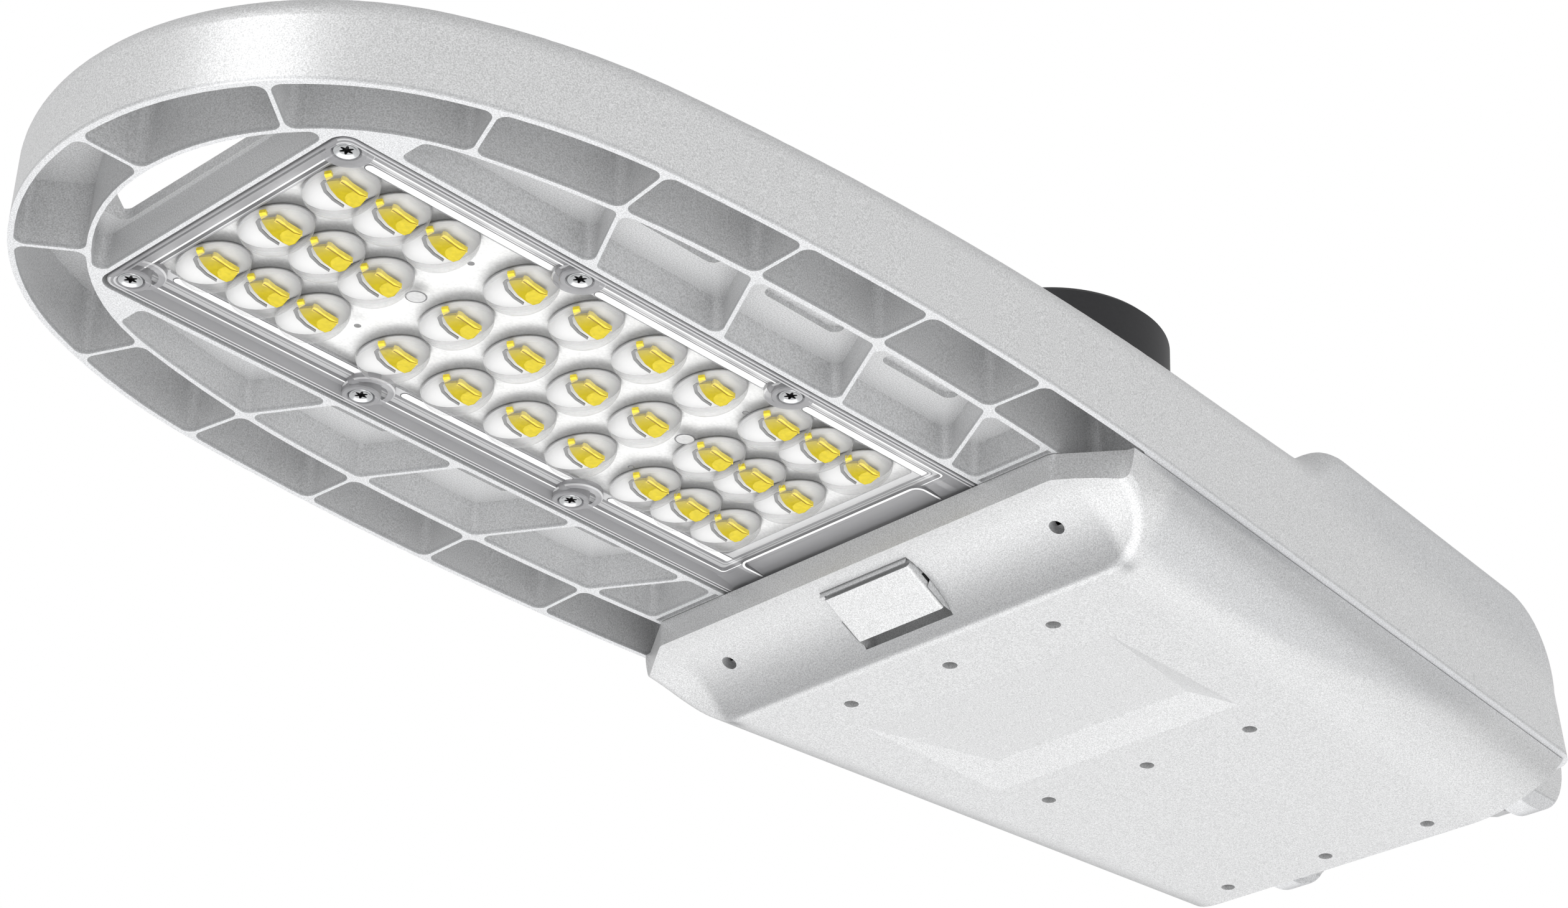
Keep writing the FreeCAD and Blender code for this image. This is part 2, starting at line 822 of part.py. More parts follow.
def rim_cells():
    # Open cells between the skirt and the ring, split by the webs
    level = float(rim) - 1
    band = prism(skirt_curves(float(size.rim_wall)), size.cell_depth + 1, level)
    band = band.common(box_solid((bulkhead_front, -size.half_width, level),
                                 (size.nose_reach, size.half_width, size.half_width)))
    ring = prism(ring_curves(rear_x=bulkhead_front - 1), size.cell_depth + 3, level - 1)
    cells = band.cut(ring).cut(Part.makeCompound(outer_webs())).Solids
    return Part.makeCompound([soften_corners(cell, size.cell_corner_radius) for cell in cells])


def side_pockets():
    # Shallow pockets between the ring and the lens frame, and the one at the nose
    level = float(rim) - 1
    depth = size.side_pocket_depth + 1
    inside = prism(ring_curves(float(size.ring_wall), float(size.ring_nose_wall)), depth, level)
    frame = box_solid((0, -pocket_side, level - 1), (pocket_nose, pocket_side, 0))
    cells = inside.cut(frame).cut(Part.makeCompound(inner_webs()))
    shoulder = box_solid((size.side_pocket_reach, 0, level), (pocket_nose, size.half_width, 0))
    cells = cells.cut(shoulder).cut(mirrored(shoulder))
    solids = [solid for solid in cells.Solids if solid.Volume > 500]
    return Part.makeCompound([soften_corners(cell, size.pocket_corner_radius) for cell in solids])


def pocket_slots():
    # Long shallow hollows in the roofs of the side pockets, one behind each of the middle webs
    slots = []
    low = float(side_pocket_roof) - 1
    height = size.slot_depth + 1
    half = float(size.slot_length) / 2
    for number in range(3):
        middle = float(size.first_web_reach + web_pitch * number + size.slot_offset)
        for side in (1, -1):
            offset = side * float(size.slot_reach)
            radius = float(size.slot_radius)
            slots.append(box_solid((middle - half, offset - radius, low), (middle + half, offset + radius,
                                                                           low + height)))
            slots += [Part.makeCylinder(radius, float(height), point(end, offset, low))
                      for end in (middle - half, middle + half)]
    return slots[0].multiFuse(slots[1:]).removeSplitter()


def door_groove():
    # Narrow groove in the rim in front of the driver door, on both sides of the lens
    front = size.door_front_reach + size.door_groove_width
    inner = pocket_side
    outer = ring_half_width - size.ring_wall - size.basin_side_margin
    return [block("door_groove", (size.door_front_reach, low, rim - 1),
                  (front, high, rim + size.door_groove_depth))
            for low, high in ((inner, outer), (-outer, -inner))]


def nose_hole():
    level = float(rim) - 1
    inside = prism(ring_curves(float(size.ring_wall), float(size.ring_nose_wall)), 60, level)
    wide = float(size.nose_hole_half_width)
    window = box_solid((pocket_nose + size.nose_shelf, -wide, level), (size.nose_reach, wide, 60))
    return soften_corners(inside.common(window), size.pocket_corner_radius)


def basin():
    # Open top over the lamp: channels between cooling fins, and one clear pan at the nose
    top = 60.0
    room = prism(ring_curves(float(size.ring_wall + size.basin_side_margin),
                             float(size.ring_nose_wall + size.basin_nose_margin), size.fin_rear_reach),
                 top, basin_floor)
    pan = box_solid((size.fin_front_reach, -size.half_width, basin_floor),
                    (size.nose_reach, size.half_width, top))
    pieces = [soften_corners(room.common(pan), size.cell_corner_radius)]
    count = int(ring_half_width / size.fin_pitch)
    half_gap = float(size.fin_pitch - size.fin_thickness) / 2
    for number in range(-count, count + 1):
        middle = number * float(size.fin_pitch)
        channel = room.common(box_solid((size.fin_rear_reach, middle - half_gap, basin_floor),
                                        (size.fin_front_reach + 1, middle + half_gap, top)))
        pieces += channel.Solids
    return pieces[0].multiFuse(pieces[1:])


def lens_recess():
    recess = block("lens_recess_room", (bulkhead_front, -recess_half_width, rim - 1),
                   (recess_nose, recess_half_width, lens_seat))
    return rounded("lens_recess", recess, size.lens_recess_corner, lambda edge: edge.BoundBox.ZLength > 1)


def saddle_ribs():
    ribs = []
    half = size.rib_thickness / 2
    reaches = (size.clamp_rear_reach / 2, (size.clamp_rear_reach + size.clamp_front_reach) / 2,
               size.clamp_front_reach + size.clamp_rear_reach / 2)
    for number, reach in enumerate(reaches, start=1):
        ribs.append(block(f"saddle_rib_{number}", (reach - half, -size.rib_half_width, 0),
                          (reach + half, size.rib_half_width, size.hump_height - 1)))
    return ribs


def clamp_bosses():
    bosses = []
    for reach in (size.clamp_rear_reach, size.clamp_front_reach):
        for side in (1, -1):
            bosses.append(rod("clamp_boss", (reach, side * size.clamp_bolt_offset, clamp_boss_foot),
                              size.clamp_boss_radius, size.hump_height - clamp_boss_foot - 1))
    return bosses


def ear(side):
    # Hinge ear behind the rear wall: a round plate with a web back to the skirt
    low = side * size.ear_offset - size.ear_thickness / 2
    disc = rod("ear_disc", (hinge_x, low + size.ear_thickness, hinge_z), size.ear_radius, size.ear_thickness,
               Vector(0, -1, 0))
    return disc


def latch_keeper():
    # Notch in the bulkhead's rear face, over which the latch's nose stands
    return block("latch_keeper", (size.bulkhead_reach - 1, -size.hook_half_width - 1, hook_top - 5),
                 (size.bulkhead_reach + size.bulkhead_thickness / 2, size.hook_half_width + 1, hook_top + 2))


def housing():
    blank = fused("housing_blank", [skirt] + crown())
    rooms = [shaped("compartment_room", compartment_room()), shaped("rim_cells", rim_cells()),
             shaped("side_pockets", side_pockets()), shaped("pocket_slots", pocket_slots()),
             shaped("nose_hole", nose_hole()), shaped("basin", basin()), lens_recess(),
             latch_keeper()] + door_groove()
    shell = cut("housing_shell", blank, rooms)
    stands = [rod("driver_stand", (x, y, driver_tab_top), size.driver_tab / 2,
                  size.compartment_roof_height - driver_tab_top + 1) for x, y in driver_screw_spots]
    solid = fused("housing_solid", [shell] + saddle_ribs() + clamp_bosses() + [ear(1), ear(-1)] + stands)
    holes = [rod("pipe_bore", (-ear_reach, 0, 0), bore_radius, size.pipe_stop + ear_reach, nose_ward),
             block("pipe_way", (-ear_reach, -bore_radius, rim - ear_reach),
                   (size.skirt_wall + size.hump_rear_reach - size.hump_rear_radius, bore_radius, 0)),
             rod("receptacle_mouth", (size.cap_reach, 0, 0), size.receptacle_plug_radius + size.blade_gap,
                 size.cap_boss_height + 1)]
    for side in (1, -1):
        holes.append(rod("ear_bore", (hinge_x, side * size.ear_offset + size.ear_thickness, hinge_z),
                         size.hinge_pin_radius, 2 * size.ear_thickness, Vector(0, -1, 0)))
    for x, y in lens_screw_spots:
        holes.append(rod("lens_screw_bore", (x, y, lens_seat - 1), size.lens_screw_radius,
                         size.lens_screw_depth + size.lens_screw_tip_gap + 1))
    for x, y in driver_screw_spots:
        holes.append(rod("driver_screw_bore", (x, y, driver_tab_top - 1), size.driver_screw_radius,
                         size.driver_screw_depth + size.lens_screw_tip_gap + 1))
    for x, y in block_screw_spots:
        holes.append(rod("block_screw_bore", (x, y, size.compartment_roof_height - 1),
                         size.driver_screw_radius, size.block_screw_depth + size.lens_screw_tip_gap + 1))
    for x, y in receptacle_screw_spots:
        holes.append(rod("receptacle_screw_bore", (x, y, size.cap_boss_height - size.skirt_wall - 1),
                         size.receptacle_screw_radius, size.skirt_wall + 2))
    for reach, offset in clamp_bolt_spots:
        holes.append(rod("clamp_bolt_bore", (reach, offset, clamp_boss_foot - 1), size.clamp_bolt_radius,
                         size.clamp_bolt_grip + 2))
    return cut("housing", solid, holes)


# Places that several pieces share
clamp_boss_foot = -size.clamp_ear_drop + size.clamp_gap
driver_tab_top = size.driver_seat_height + size.driver_tab_thickness
ear_reach = size.hinge_setback + size.ear_radius + 1
hook_top = -size.latch_pivot_drop + size.hook_height
lens_screw_spots = [(size.lens_screw_reach - size.lens_screw_pitch * number, side * size.lens_screw_offset)
                    for side in (1, -1) for number in range(4)]
receptacle_screw_spots = [(size.cap_reach, side * size.receptacle_screw_circle) for side in (1, -1)]
driver_screw_spots = [(driver_reach + driver_length / 2,
                       side * (size.driver_width / 2 + size.driver_tab / 2)) for side in (1, -1)]
block_screw_inset = size.small_head_radius + size.screw_edge_gap
terminal_screw_spots = [(size.terminal_reach + size.terminal_length / 2,
                         side * (size.terminal_width / 2 - block_screw_inset) - terminal_offset)
                        for side in (1, -1)]
surge_screw_spots = [(size.terminal_reach + size.terminal_length / 2,
                      side * (size.surge_width / 2 - block_screw_inset) + surge_offset)
                     for side in (1, -1)]
block_screw_spots = terminal_screw_spots + surge_screw_spots
keeper_reach = size.bulkhead_reach - size.keeper_gap
spring_back = keeper_reach - size.hook_nose_depth - size.hook_thickness - size.spring_gap
spring_screw_x = spring_back - size.spring_bend_reach - size.spring_foot_length / 2
clamp_bolt_spots = [(reach, side * size.clamp_bolt_offset)
                    for reach in (size.clamp_rear_reach, size.clamp_front_reach) for side in (1, -1)]
dome_sides = 12
led_spots = []
led_x = size.led_first_reach
for step in ([size.led_close_pitch] * 2 + [size.led_front_gap] + [size.led_wide_pitch] * 3
             + [size.led_rear_gap] + [size.led_close_pitch] * 2 + [size.led_close_pitch]):
    led_spots += [(led_x, row * size.led_row_spacing) for row in (-1, 0, 1)]
    led_x = led_x - step

skirt = housing_skirt()
nodes = {"housing": housing()}


# Driver door
def door_form(inset, floor, top):
    # The tray's outline at a given inset, with its long bottom edges rolled up into the sides
    outline = prism(skirt_curves(float(size.door_inset) + inset), top - floor + size.door_round, floor)
    front = float(size.door_front_reach) - inset
    shoulder = float(size.door_shoulder_reach) - inset
    far = float(size.half_width)
    corners = [point(0, -far), point(shoulder, -far), point(shoulder, -door_shoulder_half_width),
               point(front, -door_lip_half_width), point(front, door_lip_half_width),
               point(shoulder, door_shoulder_half_width), point(shoulder, far), point(0, far)]
    form = outline.common(box_solid((0, -far, floor - 1), (front + float(size.door_round), far, far)))
    rolled = [edge for edge in form.Edges
              if edge.BoundBox.ZMax < floor + 0.01 and edge.BoundBox.XLength > 8
              and abs(edge.BoundBox.Center.y) > size.rear_half_width]
    form = form.makeFillet(float(size.door_round) - inset, rolled)
    room = soften_corners(polygon_prism(corners, top - floor, floor), size.door_corner_radius)
    form = form.common(room)
    lean = float(size.door_flat_rear_reach - size.door_rear_reach) / float(door_top - door_bottom)
    low = float(size.door_rear_reach) + inset * math.hypot(1, lean) + (float(door_top) - floor) * lean
    high = float(size.door_rear_reach) + inset * math.hypot(1, lean) + (float(door_top) - top) * lean
    behind = side_polygon([point(low, 0, floor), point(high, 0, top), point(-far, 0, top),
                           point(-far, 0, floor - 1), point(low, 0, floor - 1)], far)
    return form.cut(behind)


def cove(shift_x=0.0, shift_z=0.0):
    # Hollow under the front lip, from the lip's lower edge back and down to the flat bottom
    lip = point(size.door_front_reach + shift_x, 0, door_top - size.door_lip_height + shift_z)
    middle = point(size.door_cove_reach + shift_x, 0, door_bottom + size.door_cove_rise + shift_z)
    foot = point(size.door_flat_reach + shift_x, 0, door_bottom + shift_z)
    below = point(size.door_flat_reach + shift_x, 0, door_bottom - size.door_depth)
    far = point(size.nose_reach, 0, door_bottom - size.door_depth)
    high = point(size.nose_reach, 0, lip.z)
    return side_prism([Part.Arc(lip, middle, foot), line(foot, below), line(below, far), line(far, high),
                       line(high, lip)], size.half_width)


def door_shell():
    wall = float(size.door_wall)
    outside = door_form(0.0, float(door_bottom), float(door_top)).cut(cove())
    ridge = [edge for edge in outside.Edges
             if abs(edge.BoundBox.Center.x - size.door_flat_reach) < 0.5 and edge.BoundBox.XLength < 0.5
             and edge.BoundBox.YLength > size.rear_half_width]
    outside = outside.makeFillet(float(size.door_ridge_radius), ridge)
    inside = door_form(wall, float(door_floor), float(door_top) + 1)
    inside = inside.cut(cove(-wall, wall))
    return outside.cut(inside)


def dish():
    # Shallow panel in the flat bottom, sunk at its rear and sides and running out to the front
    rear = point(size.dish_rear_reach, 0, door_bottom)
    deep = point(size.dish_rear_reach + size.dish_bevel, 0, door_bottom + size.dish_depth)
    front = point(size.dish_front_reach, 0, door_bottom)
    wedge = side_polygon([rear - up, rear, deep, front, front - up], size.half_width)
    half = float(size.dish_half_width)
    inner = half - float(size.dish_side_bevel)
    level = float(door_bottom)
    depth = float(size.dish_depth)
    slopes = [Vector(0, -half, level - 1), Vector(0, -half, level), Vector(0, -inner, level + depth),
              Vector(0, inner, level + depth), Vector(0, half, level), Vector(0, half, level - 1)]
    wire = Part.makePolygon(slopes + [slopes[0]])
    trough = Part.Face(wire).extrude(nose_ward * float(size.nose_reach))
    return wedge.common(trough)


def hinge_arm(side):
    low = min(float(side * arm_inner), float(side * arm_outer))
    eye = Part.makeCylinder(float(size.arm_eye_radius), float(size.arm_thickness),
                            point(hinge_x, low, hinge_z), side_ward)
    radius = float(size.arm_eye_radius)
    clear = float(rim) - 1.2
    root = float(size.door_rear_reach) + 3
    web = Part.Face(Part.makePolygon([
        point(hinge_x - radius, low, hinge_z), point(hinge_x - radius + 3, low, clear - 2),
        point(root + 8, low, door_bottom + 10), point(root + 2, low, door_top - 2),
        point(-1.5, low, clear), point(hinge_x + radius, low, hinge_z),
        point(hinge_x - radius, low, hinge_z)])).extrude(side_ward * float(size.arm_thickness))
    return eye.fuse(web)


def door_solid():
    shell = door_shell()
    half = float(size.dish_half_width + size.dish_backing_margin)
    run = size.dish_front_reach - size.dish_rear_reach - size.dish_bevel
    backing_front = size.dish_front_reach - run * size.dish_backing_start / size.dish_depth
    backing = box_solid((size.dish_rear_reach - size.dish_backing_margin, -half, door_floor - 0.5),
                        (backing_front, half, door_floor + size.dish_backing))
    shell = shell.fuse(backing).fuse(hinge_arm(1)).fuse(hinge_arm(-1))
    for side in (1, -1):
        low = side * (size.latch_half_width + size.latch_side_gap)
        high = low + side * size.latch_pin_grip
        boss = box_solid((size.latch_pivot_reach - 4, min(low, high), -size.latch_pivot_drop - 4),
                         (size.latch_pivot_reach + 4, max(low, high), -size.latch_pivot_drop + 4))
        shell = shell.fuse(boss.cut(cove()))
    return shell.removeSplitter()


def latch_window():
    half = size.latch_half_width + size.latch_side_gap
    return block("latch_window", (size.finger_reach, -half, door_bottom + 4),
                 (size.latch_top_reach + 1.6, half, -size.latch_pivot_drop + size.latch_knuckle_radius + 1))


def door():
    blank = shaped("door_casting", door_solid())
    tools = [shaped("dish", dish()), latch_window(),
             rod("pipe_notch", (-ear_reach, 0, 0), bore_radius + size.door_pipe_gap,
                 ear_reach + size.door_flat_rear_reach, nose_ward)]
    for side in (1, -1):
        tools.append(rod("ear_notch", (hinge_x, side * size.ear_offset + size.ear_thickness / 2
                                       + size.running_gap, hinge_z), size.ear_radius + size.running_gap,
                         size.ear_thickness + 2 * size.running_gap, Vector(0, -1, 0)))
        tools.append(rod("arm_bore", (hinge_x, side * size.ear_offset + size.arm_thickness * 2, hinge_z),
                         size.hinge_pin_radius + size.pin_clearance, 4 * size.arm_thickness,
                         Vector(0, -1, 0)))
    for number in range(3):
        for row in (-1, 0, 1):
            tools.append(rod("door_hole", (size.door_hole_reach + size.door_hole_pitch * number,
                                           row * size.door_hole_offset, door_bottom - 1),
                             size.door_hole_radius,
                             size.door_wall + size.dish_backing + size.dish_depth + 1))
    tools.append(rod("spring_screw_bore", (spring_screw_x, size.spring_screw_offset,
                                           door_floor - size.spring_screw_depth), size.driver_screw_radius,
                     size.door_wall))
    for side in (1, -1):
        hole = rod("door_front_hole", (size.door_front_hole_reach, side * size.door_front_hole_offset,
                                       -size.door_front_hole_drop), size.door_hole_radius,
                   2 * size.door_wall + 2, Vector(-1, 0, 1))
        tools.append(hole)
    tools.append(rod("latch_pin_bore", (size.latch_pivot_reach, size.half_width / 2, -size.latch_pivot_drop),
                     size.latch_pin_radius, size.half_width, Vector(0, -1, 0)))
    return cut("driver_door", blank, tools)


nodes["driver_door"] = door()


# Latch
def latch_solid():
    half = float(size.latch_half_width)
    top = point(size.latch_top_reach, -half, -size.latch_top_drop)
    bottom = point(size.latch_bottom_reach, -half, -size.latch_bottom_drop)
    along = (bottom - top).normalize()
    inward = Vector(along.z, 0, -along.x) * float(size.latch_thickness)
    width = side_ward * 2 * half
    plate = Part.Face(Part.makePolygon([top, bottom, bottom + inward, top + inward, top])).extrude(width)
    rims = [edge for edge in plate.Edges
            if edge.BoundBox.YLength < 0.1 and edge.Length > size.latch_thickness + 1]
    plate = plate.makeFillet(float(size.latch_edge_radius), rims)
    pivot = point(size.latch_pivot_reach, 0, -size.latch_pivot_drop)
    knuckle = Part.makeCylinder(float(size.latch_knuckle_radius), 2 * half, pivot - side_ward * half,
                                side_ward)
    front = float(keeper_reach)
    face = front - float(size.hook_nose_depth)
    thick = float(size.hook_thickness)
    neck = pivot.z + float(size.latch_thickness)
    low = pivot.z - float(size.latch_thickness)
    hook = side_polygon([
        point(pivot.x, 0, neck), point(face, 0, neck), point(face, 0, hook_top - size.hook_nose_height),
        point(front, 0, hook_top - size.hook_nose_height + size.hook_nose_tip),
        point(face, 0, hook_top), point(face - thick, 0, hook_top), point(face - thick, 0, low),
        point(pivot.x, 0, low)], size.hook_half_width)
    pin_hole = Part.makeCylinder(float(size.latch_pin_radius + size.pin_clearance), 4 * half,
                                 pivot - side_ward * 2 * half, side_ward)
    return plate.fuse(knuckle).fuse(hook).cut(pin_hole).removeSplitter()


def spring_solid():
    # Leaf spring: foot on the door's floor, bent up so that its tip rests behind the hook
    thick = float(size.spring_thickness)
    half = float(size.spring_half_width)
    start = spring_back - size.spring_bend_reach
    foot = box_solid((start - size.spring_foot_length, -half, door_floor),
                     (start, size.spring_foot_width - half, door_floor + size.spring_thickness))
    heel = point(start, 0, door_floor)
    bend = point(start + size.spring_bend_reach * 2 / 3, 0, door_floor + size.spring_bend_height)
    tip = point(spring_back, 0, hook_top - size.spring_tip_drop)
    rise = Vector(0, 0, thick)
    back = Vector(-thick, 0, 0)
    strip = side_polygon([heel, bend, tip, tip + back, bend + back, heel + back + rise,
                          heel + back * 3 + rise, heel + back * 3], size.spring_half_width)
    hole = Part.makeCylinder(float(size.driver_screw_radius + size.screw_gap), 3 * thick,
                             point(spring_screw_x, size.spring_screw_offset, door_floor - thick))
    return foot.fuse(strip).cut(hole).removeSplitter()


nodes["door_latch"] = shaped("door_latch", latch_solid())
nodes["latch_pin"] = rod("latch_pin", (size.latch_pivot_reach,
                                       size.latch_half_width + size.latch_side_gap + size.latch_pin_grip,
                                       -size.latch_pivot_drop), size.latch_pin_radius,
                         2 * (size.latch_half_width + size.latch_side_gap + size.latch_pin_grip),
                         Vector(0, -1, 0))
nodes["latch_spring"] = shaped("latch_spring", spring_solid())


# Screws and pins
def pan_screw(name, x, y, seat, head_radius, head_height, radius, depth, upwards=True):
    # A pan head that sits below the seat with its shank going up, or the other way round
    way = up if upwards else -up
    head_start = seat - head_height if upwards else seat + head_height
    head = rod(name + "_head", (x, y, head_start), head_radius, head_height, way)
    shank = rod(name + "_shank", (x, y, head_start), radius, head_height + depth, way)
    return fused(name + "_solid", [head, shank])


def pan_screws(name, spots, seat, head_radius, head_height, radius, depth, upwards=True):
    return group(name, [pan_screw(f"{name}_{number}", x, y, seat, head_radius, head_height, radius, depth,
                                  upwards) for number, (x, y) in enumerate(spots, start=1)])


boss_seat = lens_face + size.lens_screw_head_height
nodes["lens_screws"] = pan_screws("lens_screws", lens_screw_spots, boss_seat, size.lens_screw_head_radius,
                                  size.lens_screw_head_height, size.lens_screw_radius,
                                  lens_seat - boss_seat + size.lens_screw_depth)
nodes["driver_screws"] = pan_screws("driver_screws", driver_screw_spots, size.driver_seat_height,
                                    size.small_head_radius, size.small_head_height, size.driver_screw_radius,
                                    size.driver_tab_thickness + size.driver_screw_depth)
nodes["spring_screw"] = pan_screws("spring_screw", [(spring_screw_x, size.spring_screw_offset)],
                                   door_floor + size.spring_thickness, size.small_head_radius,
                                   size.small_head_height, size.driver_screw_radius,
                                   size.spring_thickness + size.spring_screw_depth, upwards=False)
nodes["receptacle_screws"] = pan_screws("receptacle_screws", receptacle_screw_spots,
                                        size.cap_boss_height + size.receptacle_gasket_height
                                        + size.receptacle_flange, size.small_head_radius,
                                        size.small_head_height, size.receptacle_screw_radius,
                                        size.receptacle_flange + size.receptacle_gasket_height
                                        + size.skirt_wall - 0.5, upwards=False)


def hinge_pins():
    pins = []
    for side in (1, -1):
        start = side * (arm_inner - 1) if side < 0 else arm_inner - 1
        length = ear_outer - arm_inner + 1
        way = side_ward * side
        pin = rod("hinge_pin_shank", (hinge_x, start, hinge_z), size.hinge_pin_radius, length, way)
        head = rod("hinge_pin_head", (hinge_x, side * ear_outer, hinge_z),
                   size.hinge_pin_radius + size.hinge_head_lip, size.hinge_head_height, way)
        pins.append(fused("hinge_pin", [pin, head]))
    return group("hinge_pins", pins)


nodes["hinge_pins"] = hinge_pins()


# Optics
def lens_slab(inset, rear_inset, low, high, radius):
    # Rounded slab with the lens's outline at a given inset
    corner = point(size.lens_rear_reach + rear_inset, inset - size.lens_half_width, low)
    far = point(size.lens_nose_reach - inset, size.lens_half_width - inset, high)
    span = far - corner
    return soften_corners(Part.makeBox(span.x, span.y, span.z, corner), radius)


def lens_solid():
    # Cover with a raised border that steps up to a thin panel over the board
    rim_top = lens_seat - size.gasket_height
    solid = lens_slab(0, 0, lens_face, rim_top, size.lens_corner_radius)
    inset = size.lens_rim_width
    tools = [lens_slab(inset, inset, lens_inner, rim_top + 1, size.lens_corner_radius - inset + 1)]
    for share, depth in ((1 / 3, 0.57), (0.73, 0.86), (1, 1)):
        step = size.lens_panel_inset * share
        rear = size.lens_panel_setback - size.lens_panel_inset + step
        tools.append(lens_slab(step, rear, lens_face - 1, lens_face + size.lens_panel_depth * depth,
                               size.lens_corner_radius))
    solid = solid.cut(tools)
    reach = float(lens_seat - lens_face)
    bores = []
    for x, y in lens_screw_spots:
        foot = point(x, y, lens_face)
        boss = Part.makeCylinder(float(size.lens_boss_radius), float(lens_inner - lens_face), foot)
        post = Part.makeCylinder(float(size.lens_post_radius), reach - float(size.lens_post_gap), foot)
        solid = solid.fuse([boss, post])
        bores.append(Part.makeCylinder(float(size.lens_screw_head_radius + size.lens_screw_head_gap),
                                       float(size.lens_screw_head_height), foot))
        bores.append(Part.makeCylinder(float(size.lens_screw_radius + size.lens_screw_clearance),
                                       reach, foot))
    return solid.fuse([dome_at(x, y) for x, y in led_spots]).cut(bores).removeSplitter()


def dome_at(x, y):
    # Oval lens with flat facets, so that thirty of them stay light
    rings = []
    for rise, spread in ((0, 1), (0.5, 0.87), (0.86, 0.5), (1, 0.2)):
        corners = []
        for number in range(dome_sides):
            angle = 2 * math.pi * (number + 0.5) / dome_sides
            corners.append(point(x + size.dome_length / 2 * spread * math.cos(angle),
                                 y + size.dome_width / 2 * spread * math.sin(angle),
                                 lens_panel - size.dome_height * rise))
        rings.append(corners)
    facets = [Part.Face(Part.makePolygon(ring + ring[:1])) for ring in (rings[0], rings[-1])]
    for low, high in zip(rings, rings[1:]):
        for number in range(dome_sides):
            corners = [low[number - 1], low[number], high[number], high[number - 1]]
            facets.append(Part.Face(Part.makePolygon(corners + corners[:1])))
    return Part.makeSolid(Part.makeShell(facets))


nodes["lens_plate"] = shaped("lens_plate", lens_solid())


def lens_gasket():
    outset = (size.lens_rim_width - size.gasket_width) / 2
    outer = block("gasket_outer", (size.lens_rear_reach + outset, -size.lens_half_width + outset,
                                   lens_seat - size.gasket_height),
                  (size.lens_nose_reach - outset, size.lens_half_width - outset, lens_seat))
    inset = outset + size.gasket_width
    inner = block("gasket_inner", (size.lens_rear_reach + inset, -size.lens_half_width + inset,
                                   lens_seat - size.gasket_height - 1),
                  (size.lens_nose_reach - inset, size.lens_half_width - inset, lens_seat + 1))
    upright = lambda edge: edge.BoundBox.ZLength > 0.9
    soft = rounded("gasket_outer_rounded", outer, size.lens_corner_radius - outset, upright)
    return cut("lens_gasket", soft,
               [rounded("gasket_inner_rounded", inner, size.lens_corner_radius - inset, upright)])


nodes["lens_gasket"] = lens_gasket()
board = block("board_blank", (size.lens_rear_reach + size.board_margin, -size.board_half_width, board_face),
              (size.lens_nose_reach - size.board_margin, size.board_half_width, lens_seat))
nodes["led_board"] = rounded("led_board", board, size.board_corner_radius,
                             lambda edge: edge.BoundBox.ZLength > 1)
half_side = size.emitter_side / 2
nodes["led_emitters"] = group("led_emitters", [
    block("led_package", (x - half_side, y - half_side, board_face - size.emitter_height),
          (x + half_side, y + half_side, board_face)) for x, y in led_spots])


# Photocontrol
def sector(name, inner, outer, low, height, start_angle, sweep):
    # Part of a ring about the photocontrol's axis
    spin = FreeCAD.Rotation(up, float(start_angle))
    pieces = []
    for label, radius in (("outer", outer), ("inner", inner)):
        piece = rod(f"{name}_{label}", (size.cap_reach, 0, low), radius, height)
        piece.Placement.Rotation = spin
        pieces.append(piece)
    bind(pieces[0], Angle=sweep)
    return cut(name, pieces[0], [pieces[1]])


gasket_top = size.cap_boss_height + size.receptacle_gasket_height
receptacle_top = gasket_top + size.receptacle_height
cap_foot = size.cap_boss_height + size.cap_lift
disc_foot = receptacle_top + size.cap_lift
blade_low = disc_foot - size.blade_length
blade_inner = size.blade_circle_radius - size.blade_thickness / 2
blade_outer = size.blade_circle_radius + size.blade_thickness / 2


def photocontrol_cap():
    soft = bevelled_disc("cap_blank", cap_foot, size.cap_top_height, size.cap_radius, size.cap_edge_bevel)
    inner = size.cap_radius - size.cap_wall
    below = rod("cap_skirt_room", (size.cap_reach, 0, cap_foot), inner, disc_foot - cap_foot)
    above = rod("cap_room", (size.cap_reach, 0, disc_foot + size.cap_disc_thickness), inner,
                size.cap_top_height - size.cap_wall - disc_foot - size.cap_disc_thickness)
    return cut("photocontrol_cap", soft, [below, above])


def receptacle():
    flange = rod("receptacle_flange", (size.cap_reach, 0, gasket_top), size.receptacle_radius,
                 size.receptacle_flange)
    neck = rod("receptacle_neck", (size.cap_reach, 0, gasket_top), size.receptacle_neck_radius,
               size.receptacle_height)
    plug = rod("receptacle_plug", (size.cap_reach, 0, gasket_top - size.receptacle_plug_depth),
               size.receptacle_plug_radius, size.receptacle_plug_depth)
    slots = [sector(f"blade_slot_{number}", blade_inner - size.blade_gap, blade_outer + size.blade_gap,
                    blade_low - 1, receptacle_top - blade_low + 2,
                    number * 120 - size.blade_end_angle,
                    size.blade_angle + size.twist_angle + 2 * size.blade_end_angle) for number in range(3)]
    screws = [rod("receptacle_screw_hole", (x, y, gasket_top - 1),
                  size.receptacle_screw_radius + size.screw_gap, size.receptacle_flange + 2)
              for x, y in receptacle_screw_spots]
    return cut("photocontrol_receptacle", fused("receptacle_blank", [flange, neck, plug]), slots + screws)


